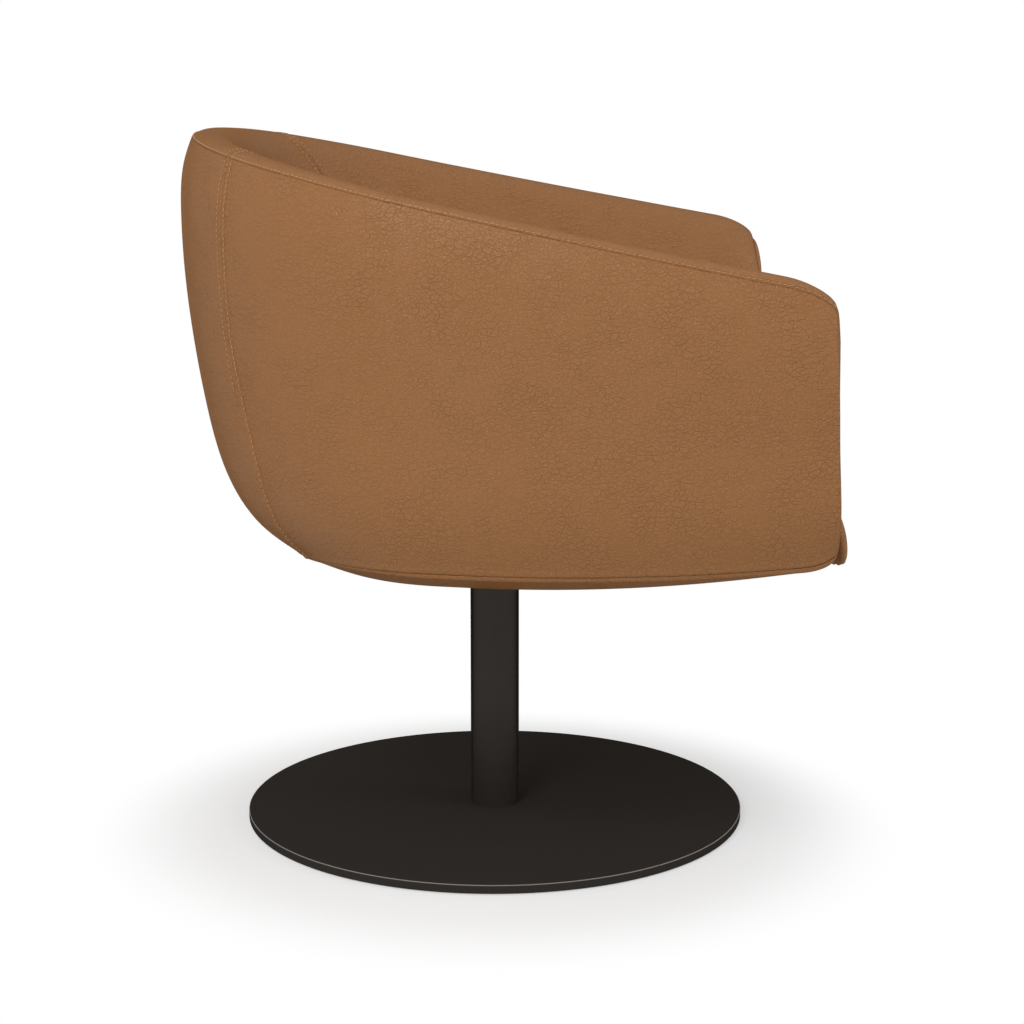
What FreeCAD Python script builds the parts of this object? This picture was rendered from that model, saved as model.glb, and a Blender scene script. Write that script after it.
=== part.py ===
import FreeCAD, Part
import math
import os

from FreeCAD import Vector

# Low tub swivel chair, in millimetres, +Z up.
# The origin is on the column's axis at the floor. The sitter faces -Y, and +X is the sitter's left.
# "forward" is the distance towards the front (-Y), "side" is the distance from the middle plane.

os.makedirs("parts", exist_ok=True)

# Base: disc, floor ring and column
disc_diameter = 520.0
disc_thickness = 9.0
disc_edge_break = 0.8
ring_inset = 12.0
ring_width = 14.0
ring_groove_depth = 1.0
floor_gap = 1.0
column_diameter = 50.8
column_wall = 3.0
column_top_height = 305.0

# Foot plug in the column, and the screws that hold it to the disc
plug_height = 34.0
foot_screw_count = 3
foot_screw_circle_radius = 13.0
foot_screw_diameter = 8.0
foot_screw_length = 20.0
foot_screw_head_diameter = 14.0
foot_screw_head_height = 3.5
foot_recess_margin = 2.0
foot_recess_spare_depth = 1.0
thread_end_room = 3.0

# Swivel: spindle, bushes, thrust washer and stop
spindle_diameter = 30.0
running_clearance = 0.05
bush_length = 34.0
bush_flange_thickness = 3.0
bush_reach = 155.0
thrust_washer_thickness = 2.0
hub_wall = 8.0
hub_height = 36.0
end_play = 0.5
stop_washer_gap = 2.4
stop_washer_thickness = 3.0
stop_screw_diameter = 10.0
stop_screw_length = 26.0
stop_screw_head_diameter = 16.0
stop_screw_head_height = 6.0

# Seat plate, its screws, and the plywood pan
plate_heel_gap = 20.0
plate_width = 180.0
plate_thickness = 6.0
plate_corner_radius = 12.0
plate_hole_margin = 19.0
plate_screw_diameter = 8.0
plate_screw_length = 24.0
plate_screw_head_diameter = 14.0
plate_screw_head_height = 4.5
plate_washer_diameter = 18.0
plate_washer_thickness = 1.6
tee_nut_barrel_diameter = 11.0
tee_nut_barrel_length = 11.0
tee_nut_flange_diameter = 24.0
tee_nut_flange_thickness = 1.5
hole_clearance = 0.5
cut_overrun = 1.0
pan_thickness = 18.0
pan_inset = (62.0, 34.0)
pan_front_gap = 0.4

# Plywood wall frames that stand on the pan, and the screws that hold them
frame_thickness = 12.0
frame_margin = 5.0
frame_straight = 32.0
frame_bend_height = 74.0
frame_shoulder_lift = 6.0
frame_cover_depth = 19.0
frame_top_gap = 34.0
frame_slot_gap = 0.3
frame_screw_diameter = 4.5
frame_screw_length = 40.0
frame_screw_head_diameter = 9.0
frame_screw_head_height = 3.0
# Where they stand: facing angles on the back and at the corners, and distances behind the arms' front
back_screw_facings = (-22.0, 0.0, 22.0)
corner_screw_facings = (46.0, 70.0)
arm_screw_setbacks = (239.0, 79.0)

# Front rail under the pan
rail_thickness = 22.0
rail_end_gap = 0.4

# Leather and the underside lining
leather = 1.6
foam_gap = 0.3
welt_gap = 1.5
lining = 1.2
lining_edge_gap = 0.8
column_opening_gap = 5.6
lining_first_facing = 4.0
lining_facing_step = 8.0

# The upholstery's heights below are measured from the underside of the pan.
# A pair holds the value at the back and the value at the side.
# Plan of the rim's stitched edge: three tangent arcs on each side
back_reach = 300.0
back_arc_radius = 460.0
back_arc_turn = 18.0
corner_arc_radius = 283.5
corner_arc_turn = 60.0
side_arc_radius = 2500.0
arm_front = 299.0
front_lean = 3.0
front_lean_height = 228.0
seam_facing = 34.5

# Height of the rim's crown: it falls towards the front in a long shallow sag
crown_height_middle = 300.0
crown_slope = 0.2013
crown_sag = 0.000035
crown_inset = 17.0
edge_below_crown = 3.5
corner_length = 27.0
corner_fall = 17.0
corner_pinch = 4.0
edge_corner_share = 0.8
shoulder_corner_share = 0.6
inner_upper_corner_share = 0.4

# Outer side at the back and at the side: how far inside the stitched edge, and how high
shoulder_inset = (-8.5, -5.0)
shoulder_drop = (24.0, 30.0)
widest_inset = (-13.0, -8.0)
widest_drop = (72.0, 110.0)
waist_inset = (8.0, -6.0)
waist_height = (92.4, 98.0)
tuck_inset = (52.6, 2.0)
tuck_height = (-16.0, -4.5)
welt_inset = (114.0, 44.0)
welt_height = (-58.6, -33.4)
foot_inset = (165.0, 127.0)
foot_height = (-74.0, -61.0)
heel_inset = (200.0, 200.0)
heel_height = (-77.0, -73.0)
underside_rise = 0.00024
rise_start = -42.0
tuck_rise_share = 0.5
welt_rise_share = 0.8

# Inner side: drop below the crown, or height
brow_inset = 36.0
brow_drop = 7.0
inner_edge_inset = 50.0
inner_edge_drop = 28.0
inner_upper_inset = 63.0
inner_upper_drop = 64.0
inner_middle_inset = (90.0, 75.0)
inner_middle_height = 138.0
seat_line_inset = (114.0, 89.0)
seat_line_height = 63.0
inner_foot_inset = (119.0, 91.0)

# Seat cushion: it lies on the pan, and its nose wraps down over the pan's front
seat_gap = 0.3
seat_side_gap = 1.2
seat_top_height = 66.0
seat_crown = 9.0
seat_back_fall = 14.0
nose_height = -7.0
nose_overhang_middle = 39.0
nose_overhang_side = 24.0
# Nose under its furthest reach: shares of the way out and of the way up
nose_under = ((0.67, 0.14), (0.94, 0.55))
# Nose above its furthest reach: how far behind it, and how high above it
nose_front = ((3.0, 22.0), (15.0, 47.0))
# Nose near the seat's top: how far behind the furthest reach, and how far below the top
nose_top = ((42.0, 9.0), (92.0, 1.0))
# Seat's top: how far forward, and what share of the fall towards the back
seat_top_fall = ((60.0, 0.0), (-90.0, 0.5), (-300.0, 1.4))
# Seat's drawn-in sides: height, and how far inside the seat line
seat_side_rows = (
    (-60.0, 0.0), (-34.0, 0.0), (-8.0, 0.0), (18.0, 0.0), (40.0, 1.5),
    (56.0, 6.5), (67.0, 17.0), (74.0, 34.0), (79.0, 62.0),
)
# Shares of the half width at which the cushion's profile is set
seat_stations = (-1.03, -0.8, -0.6, -0.3, 0.0, 0.3, 0.6, 0.8, 1.03)

# Sizes that follow from the ones above
disc_radius = disc_diameter / 2
disc_top_height = floor_gap + disc_thickness
column_radius = column_diameter / 2
nose_reach_middle = arm_front + nose_overhang_middle
nose_reach_side = arm_front + nose_overhang_side
column_bore_radius = column_radius - column_wall
ring_outer_radius = disc_radius - ring_inset
foot_recess_radius = foot_screw_circle_radius + foot_screw_head_diameter / 2 + foot_recess_margin
foot_recess_depth = foot_screw_head_height + foot_recess_spare_depth
bush_bore_radius = spindle_diameter / 2 + running_clearance
lower_bush_bottom = column_top_height - bush_reach
flange_top_height = column_top_height + bush_flange_thickness
hub_radius = spindle_diameter / 2 + hub_wall
hub_bottom_height = flange_top_height + thrust_washer_thickness
spindle_bottom = lower_bush_bottom - end_play
plate_bottom_height = hub_bottom_height + hub_height
plate_depth = 2 * (back_reach - heel_inset[0] - plate_heel_gap)
pan_bottom_height = plate_bottom_height + plate_thickness
pan_top_height = pan_bottom_height + pan_thickness


def cylinder(radius, bottom, height, x=0.0, y=0.0):
    """Upright cylinder."""
    return Part.makeCylinder(radius, height, Vector(x, y, bottom))


def tube(outer, inner, bottom, height, x=0.0, y=0.0):
    """Upright tube."""
    bore = cylinder(inner, bottom - cut_overrun, height + 2 * cut_overrun, x, y)
    return cylinder(outer, bottom, height, x, y).cut(bore)


def box(x_low, x_high, y_low, y_high, z_low, z_high):
    """Box between two corners."""
    corner = Vector(x_low, y_low, z_low)
    return Part.makeBox(x_high - x_low, y_high - y_low, z_high - z_low, corner)


def cut_all(shape, tools):
    """Shape with every tool taken away."""
    for tool in tools:
        shape = shape.cut(tool)
    return shape


def save(name, *solids):
    """Write one node and print its solids, volume and validity."""
    shape = solids[0] if len(solids) == 1 else Part.makeCompound(list(solids))
    shape.exportStep("parts/" + name + ".step")
    volume = sum(solid.Volume for solid in shape.Solids)
    print(f"{name}: {len(shape.Solids)} solids, {volume / 1000:.1f} cm3, valid {shape.isValid()}")


def cosine(degrees):
    """Cosine of an angle in degrees."""
    return math.cos(math.radians(degrees))


def sine(degrees):
    """Sine of an angle in degrees."""
    return math.sin(math.radians(degrees))


def arc_end(start, radius, start_facing, end_facing):
    """Forward and side of the end of an arc of the stitched edge."""
    forward = start[0] + radius * (cosine(start_facing) - cosine(end_facing))
    side = start[1] + radius * (sine(end_facing) - sine(start_facing))
    return forward, side


side_arc_start_facing = back_arc_turn + corner_arc_turn
back_middle = (-back_reach, 0.0)
back_arc_end = arc_end(back_middle, back_arc_radius, 0.0, back_arc_turn)
corner_arc_end = arc_end(back_arc_end, corner_arc_radius, back_arc_turn, side_arc_start_facing)


def plan_at(facing):
    """Forward and side of the stitched edge where the wall faces this many degrees from straight back."""
    turn = abs(facing)
    if turn <= back_arc_turn:
        forward, side = arc_end(back_middle, back_arc_radius, 0.0, turn)
    elif turn <= side_arc_start_facing:
        forward, side = arc_end(back_arc_end, corner_arc_radius, back_arc_turn, turn)
    else:
        forward, side = arc_end(corner_arc_end, side_arc_radius, side_arc_start_facing, turn)
    return forward, math.copysign(side, facing)


def facing_at(forward):
    """Facing angle on the side arc at this distance forward."""
    start = cosine(side_arc_start_facing)
    return math.degrees(math.acos(start - (forward - corner_arc_end[0]) / side_arc_radius))


def mix(pair, facing):
    """Value between the back's and the side's."""
    share = sine(facing) ** 2
    return pair[0] + (pair[1] - pair[0]) * share


def corner_share(forward):
    """0 behind the arm's rounded front corner, 1 at the arm's front."""
    return min(1.0, max(0.0, (forward - arm_front + corner_length) / corner_length))


def corner_drop(forward):
    """How far the rim has rounded down towards the arm's front."""
    return corner_fall * (1 - math.sqrt(1 - corner_share(forward) ** 2))


def crown_line(forward):
    """Height of the rim's crown above the pan's underside, before the front corner is rounded."""
    return crown_height_middle - crown_slope * forward + crown_sag * forward ** 2


def rise(forward):
    """How far the underside has risen towards the front."""
    return underside_rise * max(0.0, forward - rise_start) ** 2


def outer_rows(facing):
    """Inset and height down the outer side, from the stitched edge to the welt."""
    forward = plan_at(facing)[0]
    edge = crown_line(forward) - edge_below_crown
    drop = corner_drop(forward)
    pinch = corner_pinch * corner_share(forward) ** 3
    rows = [
        (0.0, edge - edge_corner_share * drop),
        (mix(shoulder_inset, facing), edge - mix(shoulder_drop, facing) - shoulder_corner_share * drop),
        (mix(widest_inset, facing), edge - mix(widest_drop, facing)),
        (mix(waist_inset, facing), mix(waist_height, facing)),
        (mix(tuck_inset, facing), mix(tuck_height, facing) + tuck_rise_share * rise(forward)),
        (mix(welt_inset, facing), mix(welt_height, facing) + welt_rise_share * rise(forward)),
    ]
    return [(inset + pinch, height) for inset, height in rows]


def under_rows(facing):
    """Inset and height from the welt in under the seat to the heel."""
    forward = plan_at(facing)[0]
    return [
        outer_rows(facing)[-1],
        (mix(foot_inset, facing), mix(foot_height, facing) + rise(forward)),
        (mix(heel_inset, facing), mix(heel_height, facing) + rise(forward)),
    ]


def inner_rows(facing):
    """Inset and height from the stitched edge over the crown and down the inner side."""
    forward = plan_at(facing)[0]
    crown = crown_line(forward)
    drop = corner_drop(forward)
    pinch = corner_pinch * corner_share(forward) ** 3
    rows = [
        (crown_inset, crown - drop),
        (brow_inset, crown - brow_drop - drop),
        (inner_edge_inset, crown - inner_edge_drop - edge_corner_share * drop),
        (inner_upper_inset, crown - inner_upper_drop - inner_upper_corner_share * drop),
        (mix(inner_middle_inset, facing), inner_middle_height),
        (mix(seat_line_inset, facing), seat_line_height),
        (mix(inner_foot_inset, facing), pan_thickness),
    ]
    return [outer_rows(facing)[0]] + [(inset - pinch, height) for inset, height in rows]


def shifted(rows, depth, keep_last_height=False):
    """Rows moved to their right by a depth, seen in their own direction of travel."""
    moved = []
    for index, (inset, height) in enumerate(rows):
        before = rows[max(index - 1, 0)]
        after = rows[min(index + 1, len(rows) - 1)]
        run = after[0] - before[0]
        fall = after[1] - before[1]
        length = math.hypot(run, fall)
        moved.append((inset - depth * fall / length, height + depth * run / length))
    if keep_last_height:
        moved[-1] = (moved[-1][0], rows[-1][1])
    return moved


def inside_edge(facing, depth):
    """The stitched edge's point, this depth inside the leather."""
    inset, height = outer_rows(facing)[0]
    return inset + depth, height - depth


def outer_rows_inside(facing, depth):
    """Rows of the outer side, this depth inside it."""
    return [inside_edge(facing, depth)] + shifted(outer_rows(facing) + under_rows(facing)[1:2], depth)[1:-1]


def under_rows_inside(facing, depth):
    """Rows of the underside, this depth inside it."""
    return [outer_rows_inside(facing, depth)[-1]] + shifted(under_rows(facing), depth)[1:]


def clear_of_welt(rows):
    """Rows of the underside that start a small gap behind the welt."""
    first, second = rows[0], rows[1]
    share = welt_gap / math.hypot(second[0] - first[0], second[1] - first[1])
    start = (first[0] + share * (second[0] - first[0]), first[1] + share * (second[1] - first[1]))
    return [start] + rows[1:]


def inner_rows_inside(facing, depth):
    """Rows of the inner side, this depth inside it."""
    return [inside_edge(facing, depth)] + shifted(inner_rows(facing), -depth, True)[1:]


def lean_shift(height):
    """How far the arm's front has come forward at this height."""
    return (front_lean_height - height) * math.tan(math.radians(front_lean))


def in_space(side, forward, height):
    """Point in space from a height above the pan's underside."""
    return Vector(side, -forward, pan_bottom_height + height)


def place(facing, row):
    """A section's point in space. The arm's front section leans forward as it goes down."""
    forward, side = plan_at(facing)
    inset, height = row
    share = corner_share(forward)
    lateral = abs(side) - inset * sine(abs(facing))
    forward += (1 - share) * inset * cosine(facing) + share * lean_shift(height)
    return in_space(math.copysign(lateral, facing), forward, height)


def curve(points):
    """Smooth edge through points."""
    spline = Part.BSplineCurve()
    spline.interpolate(points)
    return spline.toShape()


def section(facing, *stretches):
    """Closed wire in a section plane. Each stretch is a list of rows; two rows make a straight line."""
    edges = []
    for rows in stretches:
        points = [place(facing, row) for row in rows]
        if len(points) == 2:
            edges.append(Part.makeLine(points[0], points[1]))
        else:
            edges.append(curve(points))
    return Part.Wire(edges)


def loft(wires, ruled=False):
    """Solid through closed wires."""
    solid = Part.makeLoft(wires, True, ruled)
    if solid.Volume < 0:
        solid.reverse()
    return solid


def strip_section(facing, outside, inside):
    """Closed section of a thin piece between two lines of rows."""
    return section(
        facing,
        outside,
        [outside[-1], inside[-1]],
        list(reversed(inside)),
        [inside[0], outside[0]],
    )


# Facing angles of the sections of the back, between its two seams
back_facings = [seam_facing * step / 3 for step in range(-3, 4)]


def arm_facings(sign, front=arm_front):
    """Facing angles of the sections of one arm, from the back seam to the front."""
    corner = [
        seam_facing + (side_arc_start_facing - seam_facing) * step / 4 for step in range(4)
    ]
    straight_length = arm_front - corner_length - corner_arc_end[0]
    straight = [corner_arc_end[0] + straight_length * step / 3 for step in range(4)]
    rounded = [arm_front - corner_length * (1 - share) for share in (0.5, 0.8, 0.95)]
    forwards = [forward for forward in straight + rounded if forward < front - 1] + [front]
    return [sign * facing for facing in corner + [facing_at(forward) for forward in forwards]]


def outer_cover(facings):
    """Leather of the outer side between two seams."""
    wires = [strip_section(f, outer_rows(f), outer_rows_inside(f, leather)) for f in facings]
    return loft(wires)


def inner_cover(facings):
    """Leather of the inner side between two seams."""
    wires = [strip_section(f, inner_rows(f), inner_rows_inside(f, leather)) for f in facings]
    return loft(wires)


def border_stretch(facings):
    """One stretch of the leather strip from the welt in under the seat."""
    wires = []
    for facing in facings:
        outside = clear_of_welt(under_rows(facing))
        inside = clear_of_welt(under_rows_inside(facing, leather))
        wires.append(strip_section(facing, outside, inside))
    return loft(wires)


def under_border():
    """Leather strip from the welt in under the seat, all the way round."""
    arms = [border_stretch(arm_facings(sign)) for sign in (1, -1)]
    return border_stretch(back_facings).fuse(arms)


def frame_foot(facing):
    """Inset of the wall frame's outer face where it stands on the pan."""
    return mix(pan_inset, facing) + frame_margin


def frame_rows(facing, depth, lowered=0.0):
    """Inset and height up a face at this depth behind the wall frame's outer face."""
    forward = plan_at(facing)[0]
    edge = crown_line(forward) - edge_below_crown
    foot = frame_foot(facing) + depth
    widest = mix(widest_inset, facing) + frame_cover_depth + depth
    top = frame_cover_depth + depth
    return [
        (foot, pan_thickness),
        (foot, pan_thickness + frame_straight),
        ((foot + widest) / 2, pan_thickness + frame_bend_height),
        (widest, edge - mix(widest_drop, facing) + frame_shoulder_lift),
        (top, edge - frame_top_gap - corner_drop(forward) - lowered),
    ]


def frame_section(facing):
    """Closed section of the plywood wall frame."""
    outside = frame_rows(facing, 0.0, frame_slot_gap)
    inside = frame_rows(facing, frame_thickness, frame_slot_gap)
    return strip_section(facing, outside, inside)


def foam_section(facing):
    """Section of the moulded foam: it grips the pan's edge and holds the wall frame in a slot."""
    depth = leather + foam_gap
    outer = outer_rows_inside(facing, depth)
    under = under_rows_inside(facing, depth)
    inner = inner_rows_inside(facing, depth)
    pan_edge = mix(pan_inset, facing) - foam_gap
    heel = under[-1]
    heel_top = (heel[0], 0.0)
    pan_low = (pan_edge, 0.0)
    pan_high = (pan_edge, pan_thickness)
    slot_outside = frame_rows(facing, -frame_slot_gap)
    slot_inside = frame_rows(facing, frame_thickness + frame_slot_gap)
    return section(
        facing,
        outer,
        under,
        [heel, heel_top],
        [heel_top, pan_low],
        [pan_low, pan_high],
        [pan_high, slot_outside[0]],
        slot_outside,
        [slot_outside[-1], slot_inside[-1]],
        list(reversed(slot_inside)),
        [slot_inside[0], inner[-1]],
        list(reversed(inner)),
    )


def wall_foam(facings):
    """Moulded foam of one stretch of the wall."""
    return loft([foam_section(f) for f in facings])


def wall_frame(facings):
    """Plywood frame of one stretch of the wall."""
    return loft([frame_section(f) for f in facings])


def arm_facing(sign):
    """Leather panel that closes the arm's front."""
    wires = []
    for forward in (arm_front - leather, arm_front):
        facing = sign * facing_at(forward)
        outer = outer_rows_inside(facing, leather)
        inner = inner_rows_inside(facing, leather)
        foot = inner[-1]
        under = under_rows_inside(facing, leather)
        share = (foot[0] - under[0][0]) / (under[1][0] - under[0][0])
        low = (foot[0], under[0][1] + share * (under[1][1] - under[0][1]))
        wires.append(section(facing, outer, [outer[-1], low], [low, foot], list(reversed(inner))))
    return loft(wires, True)


def outline(insets, height, front, facings):
    """Closed level wire at an inset from the stitched edge, closed by a straight front."""
    points = []
    for facing in facings:
        forward, side = plan_at(facing)
        inset = mix(insets, facing)
        lateral = abs(side) - inset * sine(abs(facing))
        points.append(in_space(math.copysign(lateral, facing), forward + inset * cosine(facing), height))
    right_front = in_space(points[0].x, front, height)
    left_front = in_space(points[-1].x, front, height)
    edges = [
        curve(points),
        Part.makeLine(points[-1], left_front),
        Part.makeLine(left_front, right_front),
        Part.makeLine(right_front, points[0]),
    ]
    return Part.Wire(edges)


def round_facings(last):
    """Facing angles all the way round, from the right arm's front to the left arm's."""
    arm = [-f for f in reversed(arm_facings(1, last))]
    return arm + back_facings[1:-1] + [-f for f in reversed(arm)]


def pan_front():
    """How far forward the pan and its rail reach: just behind the arms' front panels."""
    behind_panel = arm_front - leather
    return behind_panel + corner_share(behind_panel) * lean_shift(pan_thickness) - pan_front_gap


def pan_blank():
    """The pan before its holes are drilled."""
    wire = outline(pan_inset, 0.0, pan_front(), round_facings(arm_front - corner_length))
    return Part.Face(wire).extrude(Vector(0, 0, pan_thickness))


def plate_holes():
    """Centres of the seat plate's screws."""
    half_wide = plate_width / 2 - plate_hole_margin
    half_deep = plate_depth / 2 - plate_hole_margin
    return [(x, y) for x in (-half_wide, half_wide) for y in (-half_deep, half_deep)]


def frame_screw_places(facings):
    """Centres of the screws that go up through the pan into a wall frame."""
    places = []
    for facing in facings:
        point = place(facing, (frame_foot(facing) + frame_thickness / 2, pan_thickness))
        places.append((point.x, point.y))
    return places


def frame_screw(x, y):
    """Pan-head wood screw up through the pan into a wall frame."""
    head = cylinder(frame_screw_head_diameter / 2, pan_bottom_height, frame_screw_head_height, x, y)
    shank = cylinder(frame_screw_diameter / 2, pan_bottom_height, frame_screw_length, x, y)
    return head.fuse(shank)


def plate_screw(x, y):
    """Screw up through the seat plate into a tee nut."""
    seat = plate_bottom_height - plate_washer_thickness
    bottom = seat - plate_screw_head_height
    head = cylinder(plate_screw_head_diameter / 2, bottom, plate_screw_head_height, x, y)
    shank = cylinder(plate_screw_diameter / 2, seat, plate_screw_length, x, y)
    return head.fuse(shank)


def plate_washer(x, y):
    """Washer between a plate screw's head and the seat plate."""
    hole = (plate_screw_diameter + hole_clearance) / 2
    bottom = plate_bottom_height - plate_washer_thickness
    return tube(plate_washer_diameter / 2, hole, bottom, plate_washer_thickness, x, y)


def tee_nut_blank(x, y):
    """Tee nut without its thread."""
    flange_bottom = pan_top_height - tee_nut_flange_thickness
    barrel_bottom = pan_top_height - tee_nut_barrel_length
    flange = cylinder(tee_nut_flange_diameter / 2, flange_bottom, tee_nut_flange_thickness, x, y)
    barrel = cylinder(tee_nut_barrel_diameter / 2, barrel_bottom, tee_nut_barrel_length, x, y)
    return flange.fuse(barrel)


def tee_nut(x, y):
    """Tee nut let into the pan's top."""
    bore = cylinder(plate_screw_diameter / 2, pan_bottom_height, pan_thickness + cut_overrun, x, y)
    return tee_nut_blank(x, y).cut(bore)


def seat_pan(frame_screws):
    """Plywood pan with the holes for its screws and tee nuts."""
    tools = list(frame_screws)
    for x, y in plate_holes():
        tools.append(tee_nut_blank(x, y))
        hole = (plate_screw_diameter + hole_clearance) / 2
        tools.append(cylinder(hole, pan_bottom_height - cut_overrun, pan_thickness, x, y))
    return cut_all(pan_blank(), tools)


def seat_plate():
    """Steel plate under the pan, with the spindle's hole in the middle."""
    half_wide = plate_width / 2
    half_deep = plate_depth / 2
    plate = box(-half_wide, half_wide, -half_deep, half_deep, plate_bottom_height, pan_bottom_height)
    upright = [edge for edge in plate.Edges if len({vertex.Z for vertex in edge.Vertexes}) == 2]
    plate = plate.makeFillet(plate_corner_radius, upright)
    bottom = plate_bottom_height - cut_overrun
    height = plate_thickness + 2 * cut_overrun
    hole = (plate_screw_diameter + hole_clearance) / 2
    tools = [cylinder(spindle_diameter / 2, bottom, height)]
    tools += [cylinder(hole, bottom, height, x, y) for x, y in plate_holes()]
    return cut_all(plate, tools)


def spindle():
    """Turned stem with a hub that bears on the thrust washer and a spigot in the seat plate."""
    stem = cylinder(spindle_diameter / 2, spindle_bottom, pan_bottom_height - spindle_bottom)
    hub = cylinder(hub_radius, hub_bottom_height, hub_height)
    thread_depth = stop_screw_length - stop_washer_thickness + thread_end_room
    thread = cylinder(stop_screw_diameter / 2, spindle_bottom, thread_depth)
    return stem.fuse(hub).removeSplitter().cut(thread)


def stop_washer():
    """Washer under the lower bush that keeps the spindle from lifting out."""
    hole = (stop_screw_diameter + hole_clearance) / 2
    bottom = spindle_bottom - stop_washer_thickness
    return tube(column_bore_radius - stop_washer_gap, hole, bottom, stop_washer_thickness)


def stop_screw():
    """Screw that holds the stop washer to the spindle's end."""
    seat = spindle_bottom - stop_washer_thickness
    head = cylinder(stop_screw_head_diameter / 2, seat - stop_screw_head_height, stop_screw_head_height)
    shank = cylinder(stop_screw_diameter / 2, seat, stop_screw_length)
    return head.fuse(shank)


def lower_bush():
    """Plain bush lower down in the column."""
    return tube(column_bore_radius, bush_bore_radius, lower_bush_bottom, bush_length)


def upper_bush():
    """Flanged bush in the column's mouth."""
    bottom = column_top_height - bush_length
    sleeve = cylinder(column_bore_radius, bottom, bush_length)
    flange = cylinder(column_radius, column_top_height, bush_flange_thickness)
    bore_length = bush_length + bush_flange_thickness + 2 * cut_overrun
    bore = cylinder(bush_bore_radius, bottom - cut_overrun, bore_length)
    return sleeve.fuse(flange).cut(bore)


def thrust_washer():
    """Plastic washer between the bush's flange and the spindle's hub."""
    inner = bush_bore_radius + hole_clearance
    return tube(hub_radius, inner, flange_top_height, thrust_washer_thickness)


def column():
    """Steel tube that stands on the disc."""
    return tube(column_radius, column_bore_radius, disc_top_height, column_top_height - disc_top_height)


def foot_screw_places():
    """Centres of the screws up through the disc into the foot plug."""
    step = 2 * math.pi / foot_screw_count
    radius = foot_screw_circle_radius
    return [(radius * math.sin(i * step), radius * math.cos(i * step)) for i in range(foot_screw_count)]


def foot_screw(x, y):
    """Screw up through the disc into the foot plug."""
    seat = floor_gap + foot_recess_depth
    head_bottom = seat - foot_screw_head_height
    head = cylinder(foot_screw_head_diameter / 2, head_bottom, foot_screw_head_height, x, y)
    shank = cylinder(foot_screw_diameter / 2, seat, foot_screw_length, x, y)
    return head.fuse(shank)


def foot_plug():
    """Steel plug in the column's foot, threaded for the foot screws."""
    depth = foot_screw_length - (disc_thickness - foot_recess_depth) + thread_end_room
    tools = [
        cylinder(foot_screw_diameter / 2, disc_top_height, depth, x, y) for x, y in foot_screw_places()
    ]
    return cut_all(cylinder(column_bore_radius, disc_top_height, plug_height), tools)


def floor_ring():
    """Rubber ring let into the disc's underside, on which the chair stands."""
    return tube(ring_outer_radius, ring_outer_radius - ring_width, 0.0, floor_gap + ring_groove_depth)


def base_disc():
    """Steel disc with a groove for the floor ring and a recess for the foot screws' heads."""
    disc = cylinder(disc_radius, floor_gap, disc_thickness)
    rims = [edge for edge in disc.Edges if len(edge.Vertexes) == 1]
    disc = disc.makeChamfer(disc_edge_break, rims)
    recess = cylinder(foot_recess_radius, floor_gap - cut_overrun, foot_recess_depth + cut_overrun)
    hole = (foot_screw_diameter + hole_clearance) / 2
    tools = [recess, floor_ring()]
    tools += [cylinder(hole, floor_gap, disc_thickness + cut_overrun, x, y) for x, y in foot_screw_places()]
    return cut_all(disc, tools)


def heel_place(facing):
    """Side, forward and height of the line where the leather ends under the seat."""
    row = under_rows(facing)[-1]
    point = place(facing, row)
    return point.x, -point.y, row[1]


def front_rail():
    """Beech rail under the pan's front edge, between the ends of the foam."""
    half = heel_place(facing_at(arm_front - corner_length))[0] - rail_end_gap
    front = pan_front()
    bottom = pan_bottom_height + heel_place(facing_at(arm_front))[2] + lining + seat_gap
    return box(-half, half, -front, -front + rail_thickness, bottom, pan_bottom_height)


def underside_lining():
    """Thin fabric across the underside, following the heel line, with an opening for the column."""
    facings = []
    while lining_first_facing + lining_facing_step * len(facings) < side_arc_start_facing:
        facings.append(lining_first_facing + lining_facing_step * len(facings))
    forwards = [arm_front * step / 3 for step in range(3)] + [arm_front - corner_length, arm_front]
    facings += [facing_at(forward) for forward in forwards]
    wires = []
    for facing in facings:
        side, forward, low = heel_place(facing)
        side -= lining_edge_gap
        corners = [(-side, low), (side, low), (side, low + lining), (-side, low + lining)]
        points = [in_space(x, forward, height) for x, height in corners]
        wires.append(Part.makePolygon(points + points[:1]))
    opening = cylinder(column_radius + column_opening_gap, 0.0, pan_bottom_height)
    return loft(wires, True).cut(opening)


def seat_profile(side, depth=0.0):
    """Closed wire across the seat from back to nose, this far from the middle plane."""
    share = min(1.0, abs(side) / seat_half_width)
    reach = nose_reach_middle + (nose_reach_side - nose_reach_middle) * share ** 2 - depth
    top = seat_top_height + seat_crown * (1 - share ** 2) - depth
    root_top = arm_front + lean_shift(pan_thickness) + seat_gap
    foot = nose_foot(side) + depth
    root_foot = arm_front + lean_shift(foot) + seat_gap
    curved = [(root_foot, foot)]
    for out, up in nose_under:
        curved.append((root_foot + out * (reach - root_foot), foot + up * (nose_height - foot)))
    curved.append((reach, nose_height))
    curved += [(reach - behind, nose_height + above) for behind, above in nose_front]
    curved += [(reach - behind, top - below) for behind, below in nose_top]
    curved += [(forward, top - fall * seat_back_fall) for forward, fall in seat_top_fall]
    corners = [(curved[-1][0], pan_thickness), (root_top, pan_thickness)]
    points = [in_space(side, forward, height) for forward, height in curved]
    low = [in_space(side, forward, height) for forward, height in corners]
    edges = [
        curve(points),
        Part.makeLine(points[-1], low[0]),
        Part.makeLine(low[0], low[1]),
        Part.makeLine(low[1], points[0]),
    ]
    return Part.Wire(edges)


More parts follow.
